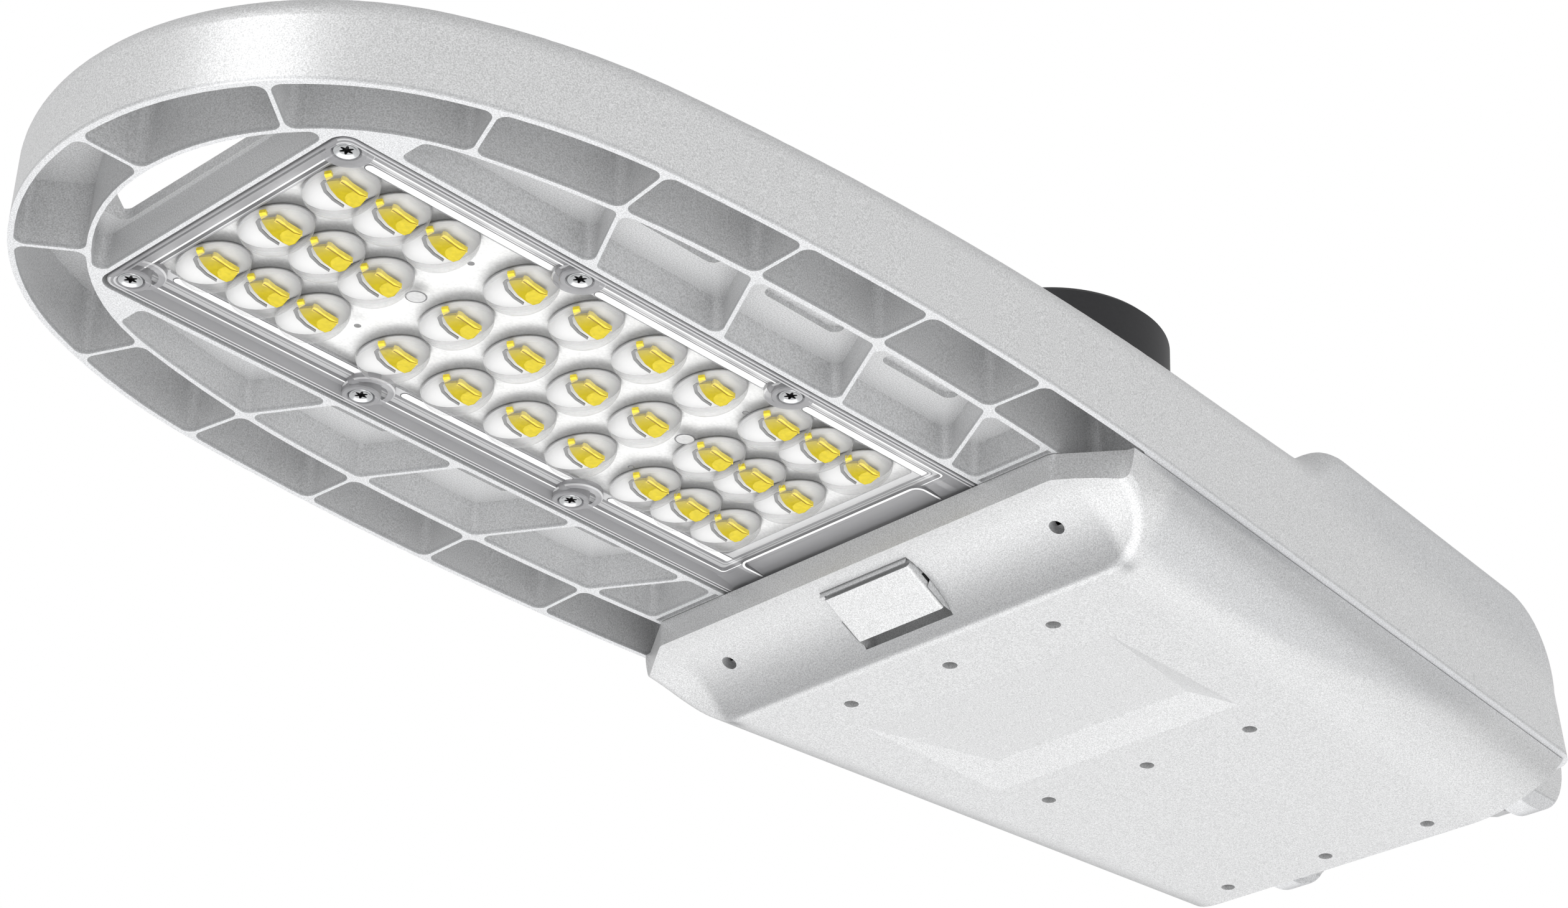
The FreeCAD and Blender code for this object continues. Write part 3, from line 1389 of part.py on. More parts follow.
nodes["photocontrol_cap"] = photocontrol_cap()
nodes["cap_blades"] = group("cap_blades", [
    sector(f"blade_{number}", blade_inner, blade_outer, blade_low, size.blade_length, number * 120,
           size.blade_angle) for number in range(3)])
nodes["photocontrol_receptacle"] = receptacle()
nodes["receptacle_gasket"] = cut("receptacle_gasket", rod(
    "gasket_disc", (size.cap_reach, 0, size.cap_boss_height), size.receptacle_radius,
    size.receptacle_gasket_height), [
    rod("gasket_mouth", (size.cap_reach, 0, size.cap_boss_height - 1), size.receptacle_plug_radius
        + size.blade_gap, size.receptacle_gasket_height + 2)] + [
    rod("gasket_screw_hole", (x, y, size.cap_boss_height - 1), size.receptacle_screw_radius + size.screw_gap,
        size.receptacle_gasket_height + 2) for x, y in receptacle_screw_spots])


# Pole clamp
def clamp_bar(name, reach):
    half = size.clamp_bar_width / 2
    outer_radius = bore_radius + size.clamp_bar_thickness
    ear_low = -size.clamp_ear_drop - size.clamp_bar_thickness
    strap = rod(name + "_strap", (reach - half, 0, 0), outer_radius, size.clamp_bar_width, nose_ward)
    upper = block(name + "_upper", (reach - half - 1, -outer_radius - 1, -size.clamp_ear_drop),
                  (reach + half + 1, outer_radius + 1, outer_radius + 1))
    low_strap = cut(name + "_low_strap", strap, [upper])
    ears = block(name + "_ears", (reach - half, -size.clamp_bolt_offset - size.washer_radius - 1, ear_low),
                 (reach + half, size.clamp_bolt_offset + size.washer_radius + 1, -size.clamp_ear_drop))
    holes = [rod(name + "_bore", (reach - half - 1, 0, 0), bore_radius, size.clamp_bar_width + 2, nose_ward)]
    for side in (1, -1):
        holes.append(rod(name + "_hole", (reach, side * size.clamp_bolt_offset, ear_low - 1),
                         size.clamp_bolt_radius + size.bolt_clearance, size.clamp_bar_thickness + 2))
    return cut(name, fused(name + "_blank", [low_strap, ears]), holes)


nodes["clamp_bar_front"] = clamp_bar("clamp_bar_front", size.clamp_front_reach)
nodes["clamp_bar_rear"] = clamp_bar("clamp_bar_rear", size.clamp_rear_reach)
washer_top = -size.clamp_ear_drop - size.clamp_bar_thickness
washer_low = washer_top - size.washer_thickness
nodes["clamp_washers"] = group("clamp_washers", [
    cut("clamp_washer", rod("washer_disc", (x, y, washer_low), size.washer_radius, size.washer_thickness),
        [rod("washer_hole", (x, y, washer_low - 1), size.clamp_bolt_radius + size.bolt_clearance,
             size.washer_thickness + 2)]) for x, y in clamp_bolt_spots])


def clamp_bolt(x, y):
    head = doc.addObject("Part::Prism", "bolt_head")
    head.Polygon = 6
    place(head, x, y, washer_low - size.bolt_head_height)
    bind(head, Circumradius=size.bolt_head_radius, Height=size.bolt_head_height)
    length = (size.bolt_head_height + size.washer_thickness + size.clamp_bar_thickness
              + size.clamp_bolt_grip)
    shank = rod("bolt_shank", (x, y, washer_low - size.bolt_head_height), size.clamp_bolt_radius, length)
    return fused("clamp_bolt", [head, shank])


nodes["clamp_bolts"] = group("clamp_bolts", [clamp_bolt(x, y) for x, y in clamp_bolt_spots])


# Gear in the compartment
def led_driver():
    half = size.driver_width / 2
    low = size.driver_seat_height - size.driver_height
    case = block("driver_case", (driver_reach, -half, low),
                 (driver_reach + driver_length, half, size.driver_seat_height))
    soft = rounded("driver_case_rounded", case, size.driver_corner_radius,
                   lambda edge: edge.BoundBox.ZLength > size.driver_tab_thickness)
    middle = driver_reach + driver_length / 2
    tabs = block("driver_tabs", (middle - size.driver_tab, -half - size.driver_tab, size.driver_seat_height),
                 (middle + size.driver_tab, half + size.driver_tab, driver_tab_top))
    holes = [rod("driver_tab_hole", (x, y, size.driver_seat_height - 1),
                 size.driver_screw_radius + size.screw_gap, size.driver_tab_thickness + 2)
             for x, y in driver_screw_spots]
    return cut("led_driver", fused("driver_blank", [soft, tabs]), holes)


nodes["led_driver"] = led_driver()
roof = size.compartment_roof_height
slot_pitch = size.terminal_slot + size.terminal_slot_wall
terminal = block("terminal_blank", (size.terminal_reach, -terminal_offset - size.terminal_width / 2,
                                    roof - size.terminal_height),
                 (size.terminal_reach + size.terminal_length, size.terminal_width / 2 - terminal_offset,
                  roof))
slots = [block("terminal_slot", (size.terminal_reach - 1,
                                 pole * slot_pitch - terminal_offset - size.terminal_slot / 2,
                                 roof - size.terminal_height - 1),
               (size.terminal_reach + size.terminal_length / 2 - size.terminal_slot_back,
                pole * slot_pitch - terminal_offset + size.terminal_slot / 2,
                roof - size.terminal_height + size.terminal_slot_height)) for pole in (-1, 0, 1)]


def block_screw_room(name, spots, height):
    # Deep seats and clearance bores for the screws that hold a block to the roof
    rooms = []
    for x, y in spots:
        rooms.append(rod(name + "_seat", (x, y, roof - height - 1),
                         size.small_head_radius + size.screw_seat_gap, height + 1 - size.block_screw_base))
        rooms.append(rod(name + "_bore", (x, y, roof - height), size.driver_screw_radius + size.screw_gap,
                         height + 1))
    return rooms


rooms = block_screw_room("terminal", terminal_screw_spots, size.terminal_height)
nodes["terminal_block"] = cut("terminal_block", terminal, slots + rooms)
surge = block("surge_case", (size.terminal_reach, surge_offset - size.surge_width / 2,
                             roof - size.surge_height),
              (size.terminal_reach + size.terminal_length, surge_offset + size.surge_width / 2, roof))
soft_surge = rounded("surge_rounded", surge, size.surge_corner_radius,
                     lambda edge: edge.BoundBox.ZLength > size.driver_tab_thickness)
nodes["surge_protector"] = cut("surge_protector", soft_surge,
                               block_screw_room("surge", surge_screw_spots, size.surge_height))
nodes["block_screws"] = pan_screws("block_screws", block_screw_spots, roof - size.block_screw_base,
                                   size.small_head_radius, size.small_head_height, size.driver_screw_radius,
                                   size.block_screw_base + size.block_screw_depth)

doc.recompute()
failed = [feature.Label for feature in doc.Objects if {"Invalid", "Error"} & set(feature.State)]
if failed:
    raise RuntimeError(f"features that did not build: {failed}")
for name, feature in nodes.items():
    feature.Label = name
    if feature.Shape.isNull() or not feature.Shape.isValid():
        raise RuntimeError(f"{name} has no valid shape")
for name, feature in nodes.items():
    feature.Shape.exportStep(f"parts/{name}.step")
    print(name, len(feature.Shape.Solids), "solids", round(feature.Shape.Volume / 1000, 2), "cm3")
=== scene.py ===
import math

import bmesh
import bpy
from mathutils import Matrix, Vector


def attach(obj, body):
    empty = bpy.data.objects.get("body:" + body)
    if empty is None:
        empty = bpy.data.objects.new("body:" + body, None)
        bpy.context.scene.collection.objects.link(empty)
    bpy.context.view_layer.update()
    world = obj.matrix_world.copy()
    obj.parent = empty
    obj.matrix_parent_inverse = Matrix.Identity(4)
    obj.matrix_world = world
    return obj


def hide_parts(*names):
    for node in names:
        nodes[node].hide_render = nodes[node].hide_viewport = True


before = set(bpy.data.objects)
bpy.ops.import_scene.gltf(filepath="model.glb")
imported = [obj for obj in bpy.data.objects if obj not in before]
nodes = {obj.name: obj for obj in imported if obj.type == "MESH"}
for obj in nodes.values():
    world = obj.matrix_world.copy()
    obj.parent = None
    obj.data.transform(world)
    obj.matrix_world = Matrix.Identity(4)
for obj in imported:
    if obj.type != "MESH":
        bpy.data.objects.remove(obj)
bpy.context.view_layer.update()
mm = 0.001
print("frame loaded")


# Shader helpers
def newMaterial(name):
    material = bpy.data.materials.new(name)
    material.use_nodes = True
    tree = material.node_tree
    return material, tree, tree.nodes["Principled BSDF"]


def noiseIn(tree, scale, detail=2.0, stretch=None):
    place = tree.nodes.new("ShaderNodeTexCoord").outputs["Object"]
    if stretch:
        mapping = tree.nodes.new("ShaderNodeMapping")
        mapping.inputs["Scale"].default_value = stretch
        tree.links.new(place, mapping.inputs["Vector"])
        place = mapping.outputs["Vector"]
    noise = tree.nodes.new("ShaderNodeTexNoise")
    noise.inputs["Scale"].default_value = scale
    noise.inputs["Detail"].default_value = detail
    tree.links.new(place, noise.inputs["Vector"])
    return noise.outputs["Fac"]


def rampFrom(tree, source, stops):
    ramp = tree.nodes.new("ShaderNodeValToRGB")
    first, last = ramp.color_ramp.elements
    first.position, first.color = stops[0][0], (*stops[0][1], 1)
    last.position, last.color = stops[-1][0], (*stops[-1][1], 1)
    for position, colour in stops[1:-1]:
        ramp.color_ramp.elements.new(position).color = (*colour, 1)
    tree.links.new(source, ramp.inputs["Fac"])
    return ramp.outputs["Color"]


def mapRange(tree, source, taken=(0, 1), given=(0, 1), interpolation="LINEAR"):
    reach = tree.nodes.new("ShaderNodeMapRange")
    reach.interpolation_type = interpolation
    for socket, value in zip(("From Min", "From Max", "To Min", "To Max"), (*taken, *given)):
        reach.inputs[socket].default_value = value
    tree.links.new(source, reach.inputs["Value"])
    return reach.outputs["Result"]


def mathFrom(tree, operation, *sources):
    node = tree.nodes.new("ShaderNodeMath")
    node.operation = operation
    for number, source in enumerate(sources):
        tree.links.new(source, node.inputs[number])
    return node.outputs[0]


def facingIn(tree, blend):
    weight = tree.nodes.new("ShaderNodeLayerWeight")
    weight.inputs["Blend"].default_value = blend
    return weight.outputs["Facing"]


def attributeIn(tree, name):
    attribute = tree.nodes.new("ShaderNodeAttribute")
    attribute.attribute_name = name
    return attribute


# Camera: seen from below and in front, at the photograph's angle
cameraLook = {
    "place": (0.90648, 0.63989, -0.51812),
    "turn": (119.904, -2.173, 134.634),  # degrees
    "lens": 82.25,
    "sensor": 36,
}


def makeCamera(look):
    data = bpy.data.cameras.new("streetCamera")
    data.lens = look["lens"]
    data.sensor_width = look["sensor"]
    camera = bpy.data.objects.new("streetCamera", data)
    camera.location = look["place"]
    camera.rotation_euler = [math.radians(angle) for angle in look["turn"]]
    bpy.context.collection.objects.link(camera)
    bpy.context.scene.camera = camera


makeCamera(cameraLook)
bpy.context.scene.view_settings.view_transform = "Standard"
print("camera placed")


# Studio: white surroundings, a pale floor and soft lamps
studioLook = {
    "ambient": 0.95,
    # What the surroundings show in reflections, from straight down to straight up
    "mirrored": [(0.0, 0.9), (0.44, 0.45), (0.5, 0.1), (0.56, 0.12), (0.72, 0.8), (0.86, 0.5),
                 (1.0, 0.15)],
    "floorPlace": (0.25, 0, -1.7),
    "floorSize": 14,
    "floorColour": (0.92, 0.92, 0.92),
    "floorRoughness": 0.9,
    "lamps": [
        {"name": "noseLamp", "place": (2.12, 0.42, 0.95), "aim": (0.5, 0.05, 0), "size": 1.1, "power": 9},
        {"name": "sideLamp", "place": (-0.5, 1.5, -0.4), "aim": (0.4, 0, 0), "size": 1.2, "power": 3.2},
        {"name": "lowLamp", "place": (0.9, 1.2, -1.0), "aim": (0.4, 0, 0), "size": 1.2, "power": 4.2},
        {"name": "floorLamp", "place": (0.25, 0, -1.5), "aim": (0.25, 0, 0), "size": 2.2, "power": 14},
    ],
}


def background(tree, strength=1.0):
    shader = tree.nodes.new("ShaderNodeBackground")
    shader.inputs["Color"].default_value = (1, 1, 1, 1)
    shader.inputs["Strength"].default_value = strength
    return shader


def mixShaders(tree, share, first, second):
    mix = tree.nodes.new("ShaderNodeMixShader")
    tree.links.new(share, mix.inputs["Fac"])
    tree.links.new(first, mix.inputs[1])
    tree.links.new(second, mix.inputs[2])
    return mix.outputs[0]


def wireWorld(look):
    world = bpy.data.worlds.new("studioWorld")
    bpy.context.scene.world = world
    world.use_nodes = True
    tree = world.node_tree
    tree.nodes.clear()
    output = tree.nodes.new("ShaderNodeOutputWorld")
    path = tree.nodes.new("ShaderNodeLightPath")
    ambient = background(tree, look["ambient"])
    backdrop = background(tree)
    mirrored = background(tree)
    way = tree.nodes.new("ShaderNodeTexCoord")
    parts = tree.nodes.new("ShaderNodeSeparateXYZ")
    tree.links.new(way.outputs["Generated"], parts.inputs["Vector"])
    height = mapRange(tree, parts.outputs["Z"], taken=(-1, 1))
    shade = rampFrom(tree, height, [(spot, (level,) * 3) for spot, level in look["mirrored"]])
    tree.links.new(shade, mirrored.inputs["Color"])
    lit = mixShaders(tree, path.outputs["Is Glossy Ray"], ambient.outputs[0], mirrored.outputs[0])
    # The white backdrop is for the camera, and for what is seen through clear pieces
    straight = mathFrom(tree, "ADD", path.outputs["Is Camera Ray"], path.outputs["Is Transmission Ray"])
    straight.node.use_clamp = True
    tree.links.new(mixShaders(tree, straight, lit, backdrop.outputs[0]), output.inputs["Surface"])


def layFloor(look):
    bpy.ops.mesh.primitive_plane_add(size=look["floorSize"], location=look["floorPlace"])
    floor = bpy.context.object
    floor.name = "studioFloor"
    material, _, shader = newMaterial("paleFloor")
    shader.inputs["Base Color"].default_value = (*look["floorColour"], 1)
    shader.inputs["Roughness"].default_value = look["floorRoughness"]
    floor.data.materials.append(material)


def hangLamp(lamp):
    data = bpy.data.lights.new(lamp["name"], "AREA")
    data.shape = "DISK"
    data.size = lamp["size"]
    data.energy = lamp["power"]
    light = bpy.data.objects.new(lamp["name"], data)
    light.location = lamp["place"]
    light.rotation_euler = (Vector(lamp["aim"]) - light.location).to_track_quat("-Z", "Y").to_euler()
    bpy.context.collection.objects.link(light)


wireWorld(studioLook)
layFloor(studioLook)
for lamp in studioLook["lamps"]:
    hangLamp(lamp)
print("studio lit")


# Finishes
bumpDepth = 0.0002
fleckSpots = (0.3, 0.7)  # where the noise turns dark and light
powderLook = {
    "dark": 0.47, "light": 0.73,
    "cast": (1, 1.004, 1.012),  # the silver is a touch blue
    "speckle": (0.3, 0.5, 0.72),
    "grain": 2600, "cloud": 30,
    "metal": 0.35,
    "roughness": (0.32, 0.42),
    "bump": 0.12,
}
plasticLook = {"grain": 900, "bump": 0.08, "dark": 0.9, "light": 1.08}
metalLook = {"grain": 700, "dark": 0.86, "light": 1, "smooth": 0.8, "rough": 1.3}


def grey(level):
    return tuple(level * share for share in powderLook["cast"])


def bumpFrom(tree, height, strength):
    bump = tree.nodes.new("ShaderNodeBump")
    bump.inputs["Strength"].default_value = strength
    bump.inputs["Distance"].default_value = bumpDepth
    tree.links.new(height, bump.inputs["Height"])
    return bump.outputs["Normal"]


def fleckedColour(tree, noise, colour, look):
    stops = []
    for spot, share in zip(fleckSpots, (look["dark"], look["light"])):
        stops.append((spot, [channel * share for channel in colour]))
    return rampFrom(tree, noise, stops)


def zoneFactor(tree, zone):
    place = tree.nodes.new("ShaderNodeTexCoord")
    parts = tree.nodes.new("ShaderNodeSeparateXYZ")
    tree.links.new(place.outputs["Object"], parts.inputs["Vector"])
    product = None
    for axis, outside, inside in zone["ramps"]:
        source = parts.outputs[axis.strip("|")]
        if "|" in axis:
            source = mathFrom(tree, "ABSOLUTE", source)
        ramp = mapRange(tree, source, (outside * mm, inside * mm), interpolation="SMOOTHSTEP")
        product = ramp if product is None else mathFrom(tree, "MULTIPLY", product, ramp)
    return product


def powderCoat(name, look, paintedLightZones=()):
    material, tree, shader = newMaterial(name)
    grain = noiseIn(tree, look["grain"], detail=1.0)
    tones = (look["dark"], (look["dark"] + look["light"]) / 2, look["light"])
    colour = rampFrom(tree, grain, [(spot, grey(tone)) for spot, tone in zip(look["speckle"], tones)])
    # Each zone multiplies the colour: painted shade below 1, painted highlight above 1
    for zone in paintedLightZones:
        paintedLightMix = tree.nodes.new("ShaderNodeMix")
        paintedLightMix.data_type = "RGBA"
        paintedLightMix.blend_type = "MULTIPLY"
        paintedLightMix.inputs["B"].default_value = (*grey(zone["tone"]), 1)
        tree.links.new(zoneFactor(tree, zone), paintedLightMix.inputs["Factor"])
        tree.links.new(colour, paintedLightMix.inputs["A"])
        colour = paintedLightMix.outputs["Result"]
    tree.links.new(colour, shader.inputs["Base Color"])
    rough = mapRange(tree, noiseIn(tree, look["cloud"]), given=look["roughness"])
    tree.links.new(rough, shader.inputs["Roughness"])
    tree.links.new(bumpFrom(tree, grain, look["bump"]), shader.inputs["Normal"])
    shader.inputs["Metallic"].default_value = look["metal"]
    return material


def mouldedPlastic(name, colour, roughness, grain=plasticLook["grain"], bump=plasticLook["bump"]):
    material, tree, shader = newMaterial(name)
    noise = noiseIn(tree, grain)
    tree.links.new(fleckedColour(tree, noise, colour, plasticLook), shader.inputs["Base Color"])
    shader.inputs["Roughness"].default_value = roughness
    tree.links.new(bumpFrom(tree, noise, bump), shader.inputs["Normal"])
    return material


def brightMetal(name, colour, roughness, stretch=None):
    material, tree, shader = newMaterial(name)
    noise = noiseIn(tree, metalLook["grain"], stretch=stretch)
    tree.links.new(fleckedColour(tree, noise, colour, metalLook), shader.inputs["Base Color"])
    rough = mapRange(tree, noise, given=(roughness * metalLook["smooth"], roughness * metalLook["rough"]))
    tree.links.new(rough, shader.inputs["Roughness"])
    shader.inputs["Metallic"].default_value = 1
    return material


def dress(node, material):
    mesh = nodes[node].data
    mesh.materials.clear()
    mesh.materials.append(material)


# Painted shade and painted highlight on the coat: axis, where it starts, where it is full (mm).
# |Y| is the distance from the middle
housingPaintedLight = [
    {"tone": 0.88, "ramps": [("Z", -6, 12), ("X", 175, 120)]},  # painted shade on the hump over the pipe
    {"tone": 1.07, "ramps": [("Z", -22.9, -23.2)]},  # painted highlight on the rim
    {"tone": 0.86, "ramps": [("Z", -23.1, -22.8), ("Z", -21.9, -22.4)]},  # painted shade line above the rim
]
doorPaintedShade = [
    # Painted shade in the cove round the latch, on the door's sides, and on the strip under the seam
    {"tone": 0.62, "ramps": [("X", 252, 229), ("Z", -46.35, -45.4), ("X", 222, 226), ("|Y|", 82, 77)]},
    {"tone": 0.86, "ramps": [("|Y|", 76, 80), ("Z", -45.5, -41), ("X", 232, 224)]},
    {"tone": 0.74, "ramps": [("Z", -27.5, -24.4), ("|Y|", 86, 92), ("X", 246, 232)]},
]
silverPaint = powderCoat("silverPaint", powderLook, housingPaintedLight)
doorPaint = powderCoat("doorPaint", powderLook, doorPaintedShade)
latchPaint = powderCoat("latchPaint", powderLook)
darkCap = mouldedPlastic("capPlastic", (0.016, 0.016, 0.018), 0.5)
blackPhenolic = mouldedPlastic("blackPhenolic", (0.02, 0.02, 0.022), 0.5)
sealRubber = mouldedPlastic("sealRubber", (0.025, 0.025, 0.026), 0.7)
whiteMask = mouldedPlastic("whiteMask", (0.82, 0.82, 0.815), 0.6, grain=1400, bump=0.03)
paleTerminal = mouldedPlastic("paleTerminal", (0.62, 0.61, 0.57), 0.5)
screwSteel = brightMetal("screwSteel", (0.6, 0.61, 0.62), 0.2)
clampSteel = brightMetal("clampSteel", (0.62, 0.63, 0.63), 0.36)
springSteel = brightMetal("springSteel", (0.6, 0.6, 0.6), 0.3)
bladeBrass = brightMetal("bladeBrass", (0.85, 0.62, 0.28), 0.28)
driverAlloy = brightMetal("driverAlloy", (0.66, 0.67, 0.68), 0.42, stretch=(1, 14, 1))
phosphor = mouldedPlastic("phosphor", (0.47, 0.37, 0.0), 0.4, bump=0.02)

for node, material in {
    "housing": silverPaint, "driver_door": doorPaint, "door_latch": latchPaint,
    "photocontrol_cap": darkCap, "photocontrol_receptacle": blackPhenolic,
    "receptacle_gasket": sealRubber, "lens_gasket": sealRubber, "led_board": whiteMask,
    "terminal_block": paleTerminal, "surge_protector": blackPhenolic, "lens_screws": screwSteel,
    "hinge_pins": screwSteel, "latch_pin": screwSteel, "receptacle_screws": screwSteel,
    "driver_screws": screwSteel, "block_screws": screwSteel, "spring_screw": screwSteel,
    "clamp_bar_front": clampSteel, "clamp_bar_rear": clampSteel, "clamp_washers": clampSteel,
    "clamp_bolts": clampSteel, "latch_spring": springSteel, "cap_blades": bladeBrass,
    "led_driver": driverAlloy, "led_emitters": phosphor,
}.items():
    dress(node, material)
print("finishes applied")


# Mesh helpers: a builder draws in millimetres, and the piece rides on its body
def meshPiece(name, build, materials, body="head"):
    mesh = bpy.data.meshes.new(name)
    form = bmesh.new()
    build(form)
    bmesh.ops.scale(form, vec=(mm, mm, mm), verts=form.verts)
    bmesh.ops.recalc_face_normals(form, faces=form.faces)
    form.to_mesh(mesh)
    form.free()
    for material in materials:
        mesh.materials.append(material)
    piece = bpy.data.objects.new(name, mesh)
    bpy.context.collection.objects.link(piece)
    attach(piece, body)
    return piece


def smooth(piece, degrees):
    for face in piece.data.polygons:
        face.use_smooth = True
    bpy.context.view_layer.objects.active = piece
    piece.select_set(True)
    bpy.ops.object.shade_smooth_by_angle(angle=math.radians(degrees))
    piece.select_set(False)


def turnedRings(form, x, y, profile, segments):
    rings = []
    for radius, level in profile:
        rings.append([form.verts.new((x + radius * math.cos(2 * math.pi * step / segments),
                                      y + radius * math.sin(2 * math.pi * step / segments), level))
                      for step in range(segments)])
    return rings


def bridge(form, rings, indices):
    for number, (outer, inner) in enumerate(zip(rings, rings[1:])):
        for step in range(len(outer)):
            face = form.faces.new([outer[step - 1], outer[step], inner[step], inner[step - 1]])
            face.material_index = indices[min(number, len(indices) - 1)]


# Lens: a clear moulding with a stepped border, screw bosses and thirty oval domes
lensLook = {
    "rear": 244.4, "nose": 487.2, "halfWidth": 49.7,
    "panel": -19.6,  # level of the panel between the domes
    "cornerRadius": 4, "cornerSteps": 6,
    "cornerShrink": 0.5, "leastRadius": 1.2,  # the steps' corners get tighter inwards
    "noseDepth": 13, "shortestRun": 1,  # faces this near the nose and this long run across it
    "polish": 0.04, "blend": 0.35,
    # Border from the outer edge inwards: inset at nose and sides, inset at the rear, level, finish,
    # and the finish of the run across the nose
    "border": [
        (0.0, 0.0, -21.3, "riser", "riser"), (0.0, 0.0, -22.9, "riser", "riser"),
        (0.25, 0.25, -23.1, "tread", "shaded"), (0.8, 0.8, -23.1, "riser", "line"),
        (0.95, 0.95, -22.7, "riser", "line"), (1.25, 1.25, -22.7, "riser", "riser"),
        (1.4, 1.4, -23.1, "tread", "shaded"), (1.9, 1.9, -23.1, "shaded", "shaded"),
        (3.4, 20.2, -21.3, "riser", "line"), (3.6, 20.6, -21.1, "shaded", "shaded"),
        (5.4, 21.6, -21.1, "flash", "flash"), (5.9, 21.9, -21.1, "riser", "line"),
        (6.2, 22.4, -20.2, "tread", "line"), (7.8, 23.2, -20.2, "riser", "tread"),
        (8.1, 23.5, -20.2, "tread", "shaded"), (8.7, 23.8, -20.1, "riser", "line"),
        (9.2, 24.2, -19.6, "tread", "panel"), (12.2, 27.0, -19.6, "riser", "panel"),
        (12.45, 27.2, -19.6, "panel", "panel"),
    ],
}


def clearFinish(name, colour, cover, roughness=lensLook["polish"]):
    material, tree, shader = newMaterial(name)
    shader.inputs["Base Color"].default_value = (*colour, 1)
    shader.inputs["Roughness"].default_value = roughness
    glance = facingIn(tree, lensLook["blend"])
    tree.links.new(mapRange(tree, glance, given=cover), shader.inputs["Alpha"])
    return material


# The clear moulding's tones are painted: light treads are painted reflection, dark risers, shaded treads and
# dark lines are painted shade, and white flash strips are painted highlight
# Colour, and how well it covers seen straight on and at a glance
clearPanel = clearFinish("clearPanel", (0.8, 0.8, 0.8), (0.02, 0.15))
clearTread = clearFinish("clearTread", (0.86, 0.86, 0.87), (0.4, 0.7))
clearRiser = clearFinish("clearRiser", (0.3, 0.3, 0.31), (0.6, 0.9), roughness=0.12)
shadedTread = clearFinish("shadedTread", (0.36, 0.36, 0.37), (0.5, 0.8))
brightStrip = clearFinish("brightStrip", (1, 1, 1), (0.94, 1), roughness=0.1)
stripShade = clearFinish("stripShade", (0.12, 0.12, 0.125), (0.8, 0.95), roughness=0.2)
lensFinishes = {
    "panel": clearPanel, "tread": clearTread, "riser": clearRiser, "shaded": shadedTread,
    "flash": brightStrip, "line": stripShade,
}


def borderRing(look, inset, rearInset, level):
    low = Vector((look["rear"] + rearInset, -look["halfWidth"] + inset))
    high = Vector((look["nose"] - inset, look["halfWidth"] - inset))
    radius = max(look["cornerRadius"] - inset * look["cornerShrink"], look["leastRadius"])
    corners = [((high.x - radius, high.y - radius), 0), ((low.x + radius, high.y - radius), 90),
               ((low.x + radius, low.y + radius), 180), ((high.x - radius, low.y + radius), 270)]
    ring = []
    for (x, y), start in corners:
        for step in range(look["cornerSteps"] + 1):
            angle = math.radians(start + 90 * step / look["cornerSteps"])
            ring.append((x + radius * math.cos(angle), y + radius * math.sin(angle), level))
    return ring


def buildLensPlate(form):
    finishes = list(lensFinishes)
    rings = []
    for inset, rearInset, level, _, _ in lensLook["border"]:
        rings.append([form.verts.new(spot) for spot in borderRing(lensLook, inset, rearInset, level)])
    for number, (outer, inner) in enumerate(zip(rings, rings[1:])):
        sideFinish, noseFinish = lensLook["border"][number][3:]
        for step in range(len(outer)):
            face = form.faces.new([outer[step - 1], outer[step], inner[step], inner[step - 1]])
            nearNose = face.calc_center_median().x > lensLook["nose"] - lensLook["noseDepth"]
            run = abs(outer[step].co.y - outer[step - 1].co.y)
            acrossNose = nearNose and run > lensLook["shortestRun"]
            face.material_index = finishes.index(noseFinish if acrossNose else sideFinish)
    form.faces.new(rings[-1])


lensPlate = meshPiece("lensPlate", buildLensPlate, lensFinishes.values())
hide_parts("lens_plate")
print("lens plate made")


# The screws stand in a row along each side of the lens, counted from the nose
screwRow = {"firstReach": 481.8, "pitch": 77.3, "count": 4, "halfWidth": 44.1}
screwReaches = [screwRow["firstReach"] - screwRow["pitch"] * number for number in range(screwRow["count"])]
screwPlaces = [(reach, side * screwRow["halfWidth"]) for side in (1, -1) for reach in screwReaches]

# Bright ribs beside the panel, one between each two screws, with a dark line round each: the white is a
# painted highlight and the dark line a painted shade
ribLook = {
    "afterScrew": 10, "beforeScrew": 4.5,
    "inner": 37.9, "outer": 40.3, "level": -19.75,
    "shade": 0.3, "shadeBack": 0.08,  # the dark line's width, and how far it lies behind the rib
    "endSteps": 8,
}


def ribOutline(look, high, low, side, grow):
    middle = (look["inner"] + look["outer"]) / 2
    radius = (look["outer"] - look["inner"]) / 2
    outline = []
    for end, start in ((high - radius, -90), (low + radius, 90)):
        for step in range(look["endSteps"] + 1):
            angle = math.radians(start + 180 * step / look["endSteps"])
            outline.append((end + (radius + grow) * math.cos(angle),
                            side * (middle + (radius + grow) * math.sin(angle))))
    return outline


def buildRibs(form):
    look = ribLook
    layers = ((look["shade"], look["level"] + look["shadeBack"], 1), (0, look["level"], 0))
    for first, last in zip(screwReaches, screwReaches[1:]):
        for side in (-1, 1):
            for grow, level, index in layers:
                outline = ribOutline(look, first - look["afterScrew"], last + look["beforeScrew"],
                                     side, grow)
                face = form.faces.new([form.verts.new((x, y, level)) for x, y in outline])
                face.material_index = index


brightRibs = meshPiece("brightRibs", buildRibs, [brightStrip, stripShade])
print("bright ribs made")


# Raised line across the lens's rear end, with rounded ends that turn under the door: its white band is a
# painted highlight and its dark bands painted shade
rearLineLook = {
    "reach": 268.6, "halfWidth": 36.5, "cornerRadius": 4, "rear": 258, "cornerSteps": 8,
    # Width from the line's outer side inwards, level, finish
    "bands": [(0, -21.5, 1), (0.45, -22.1, 0), (1.15, -22.1, 1), (1.6, -21.5, 1)],
}


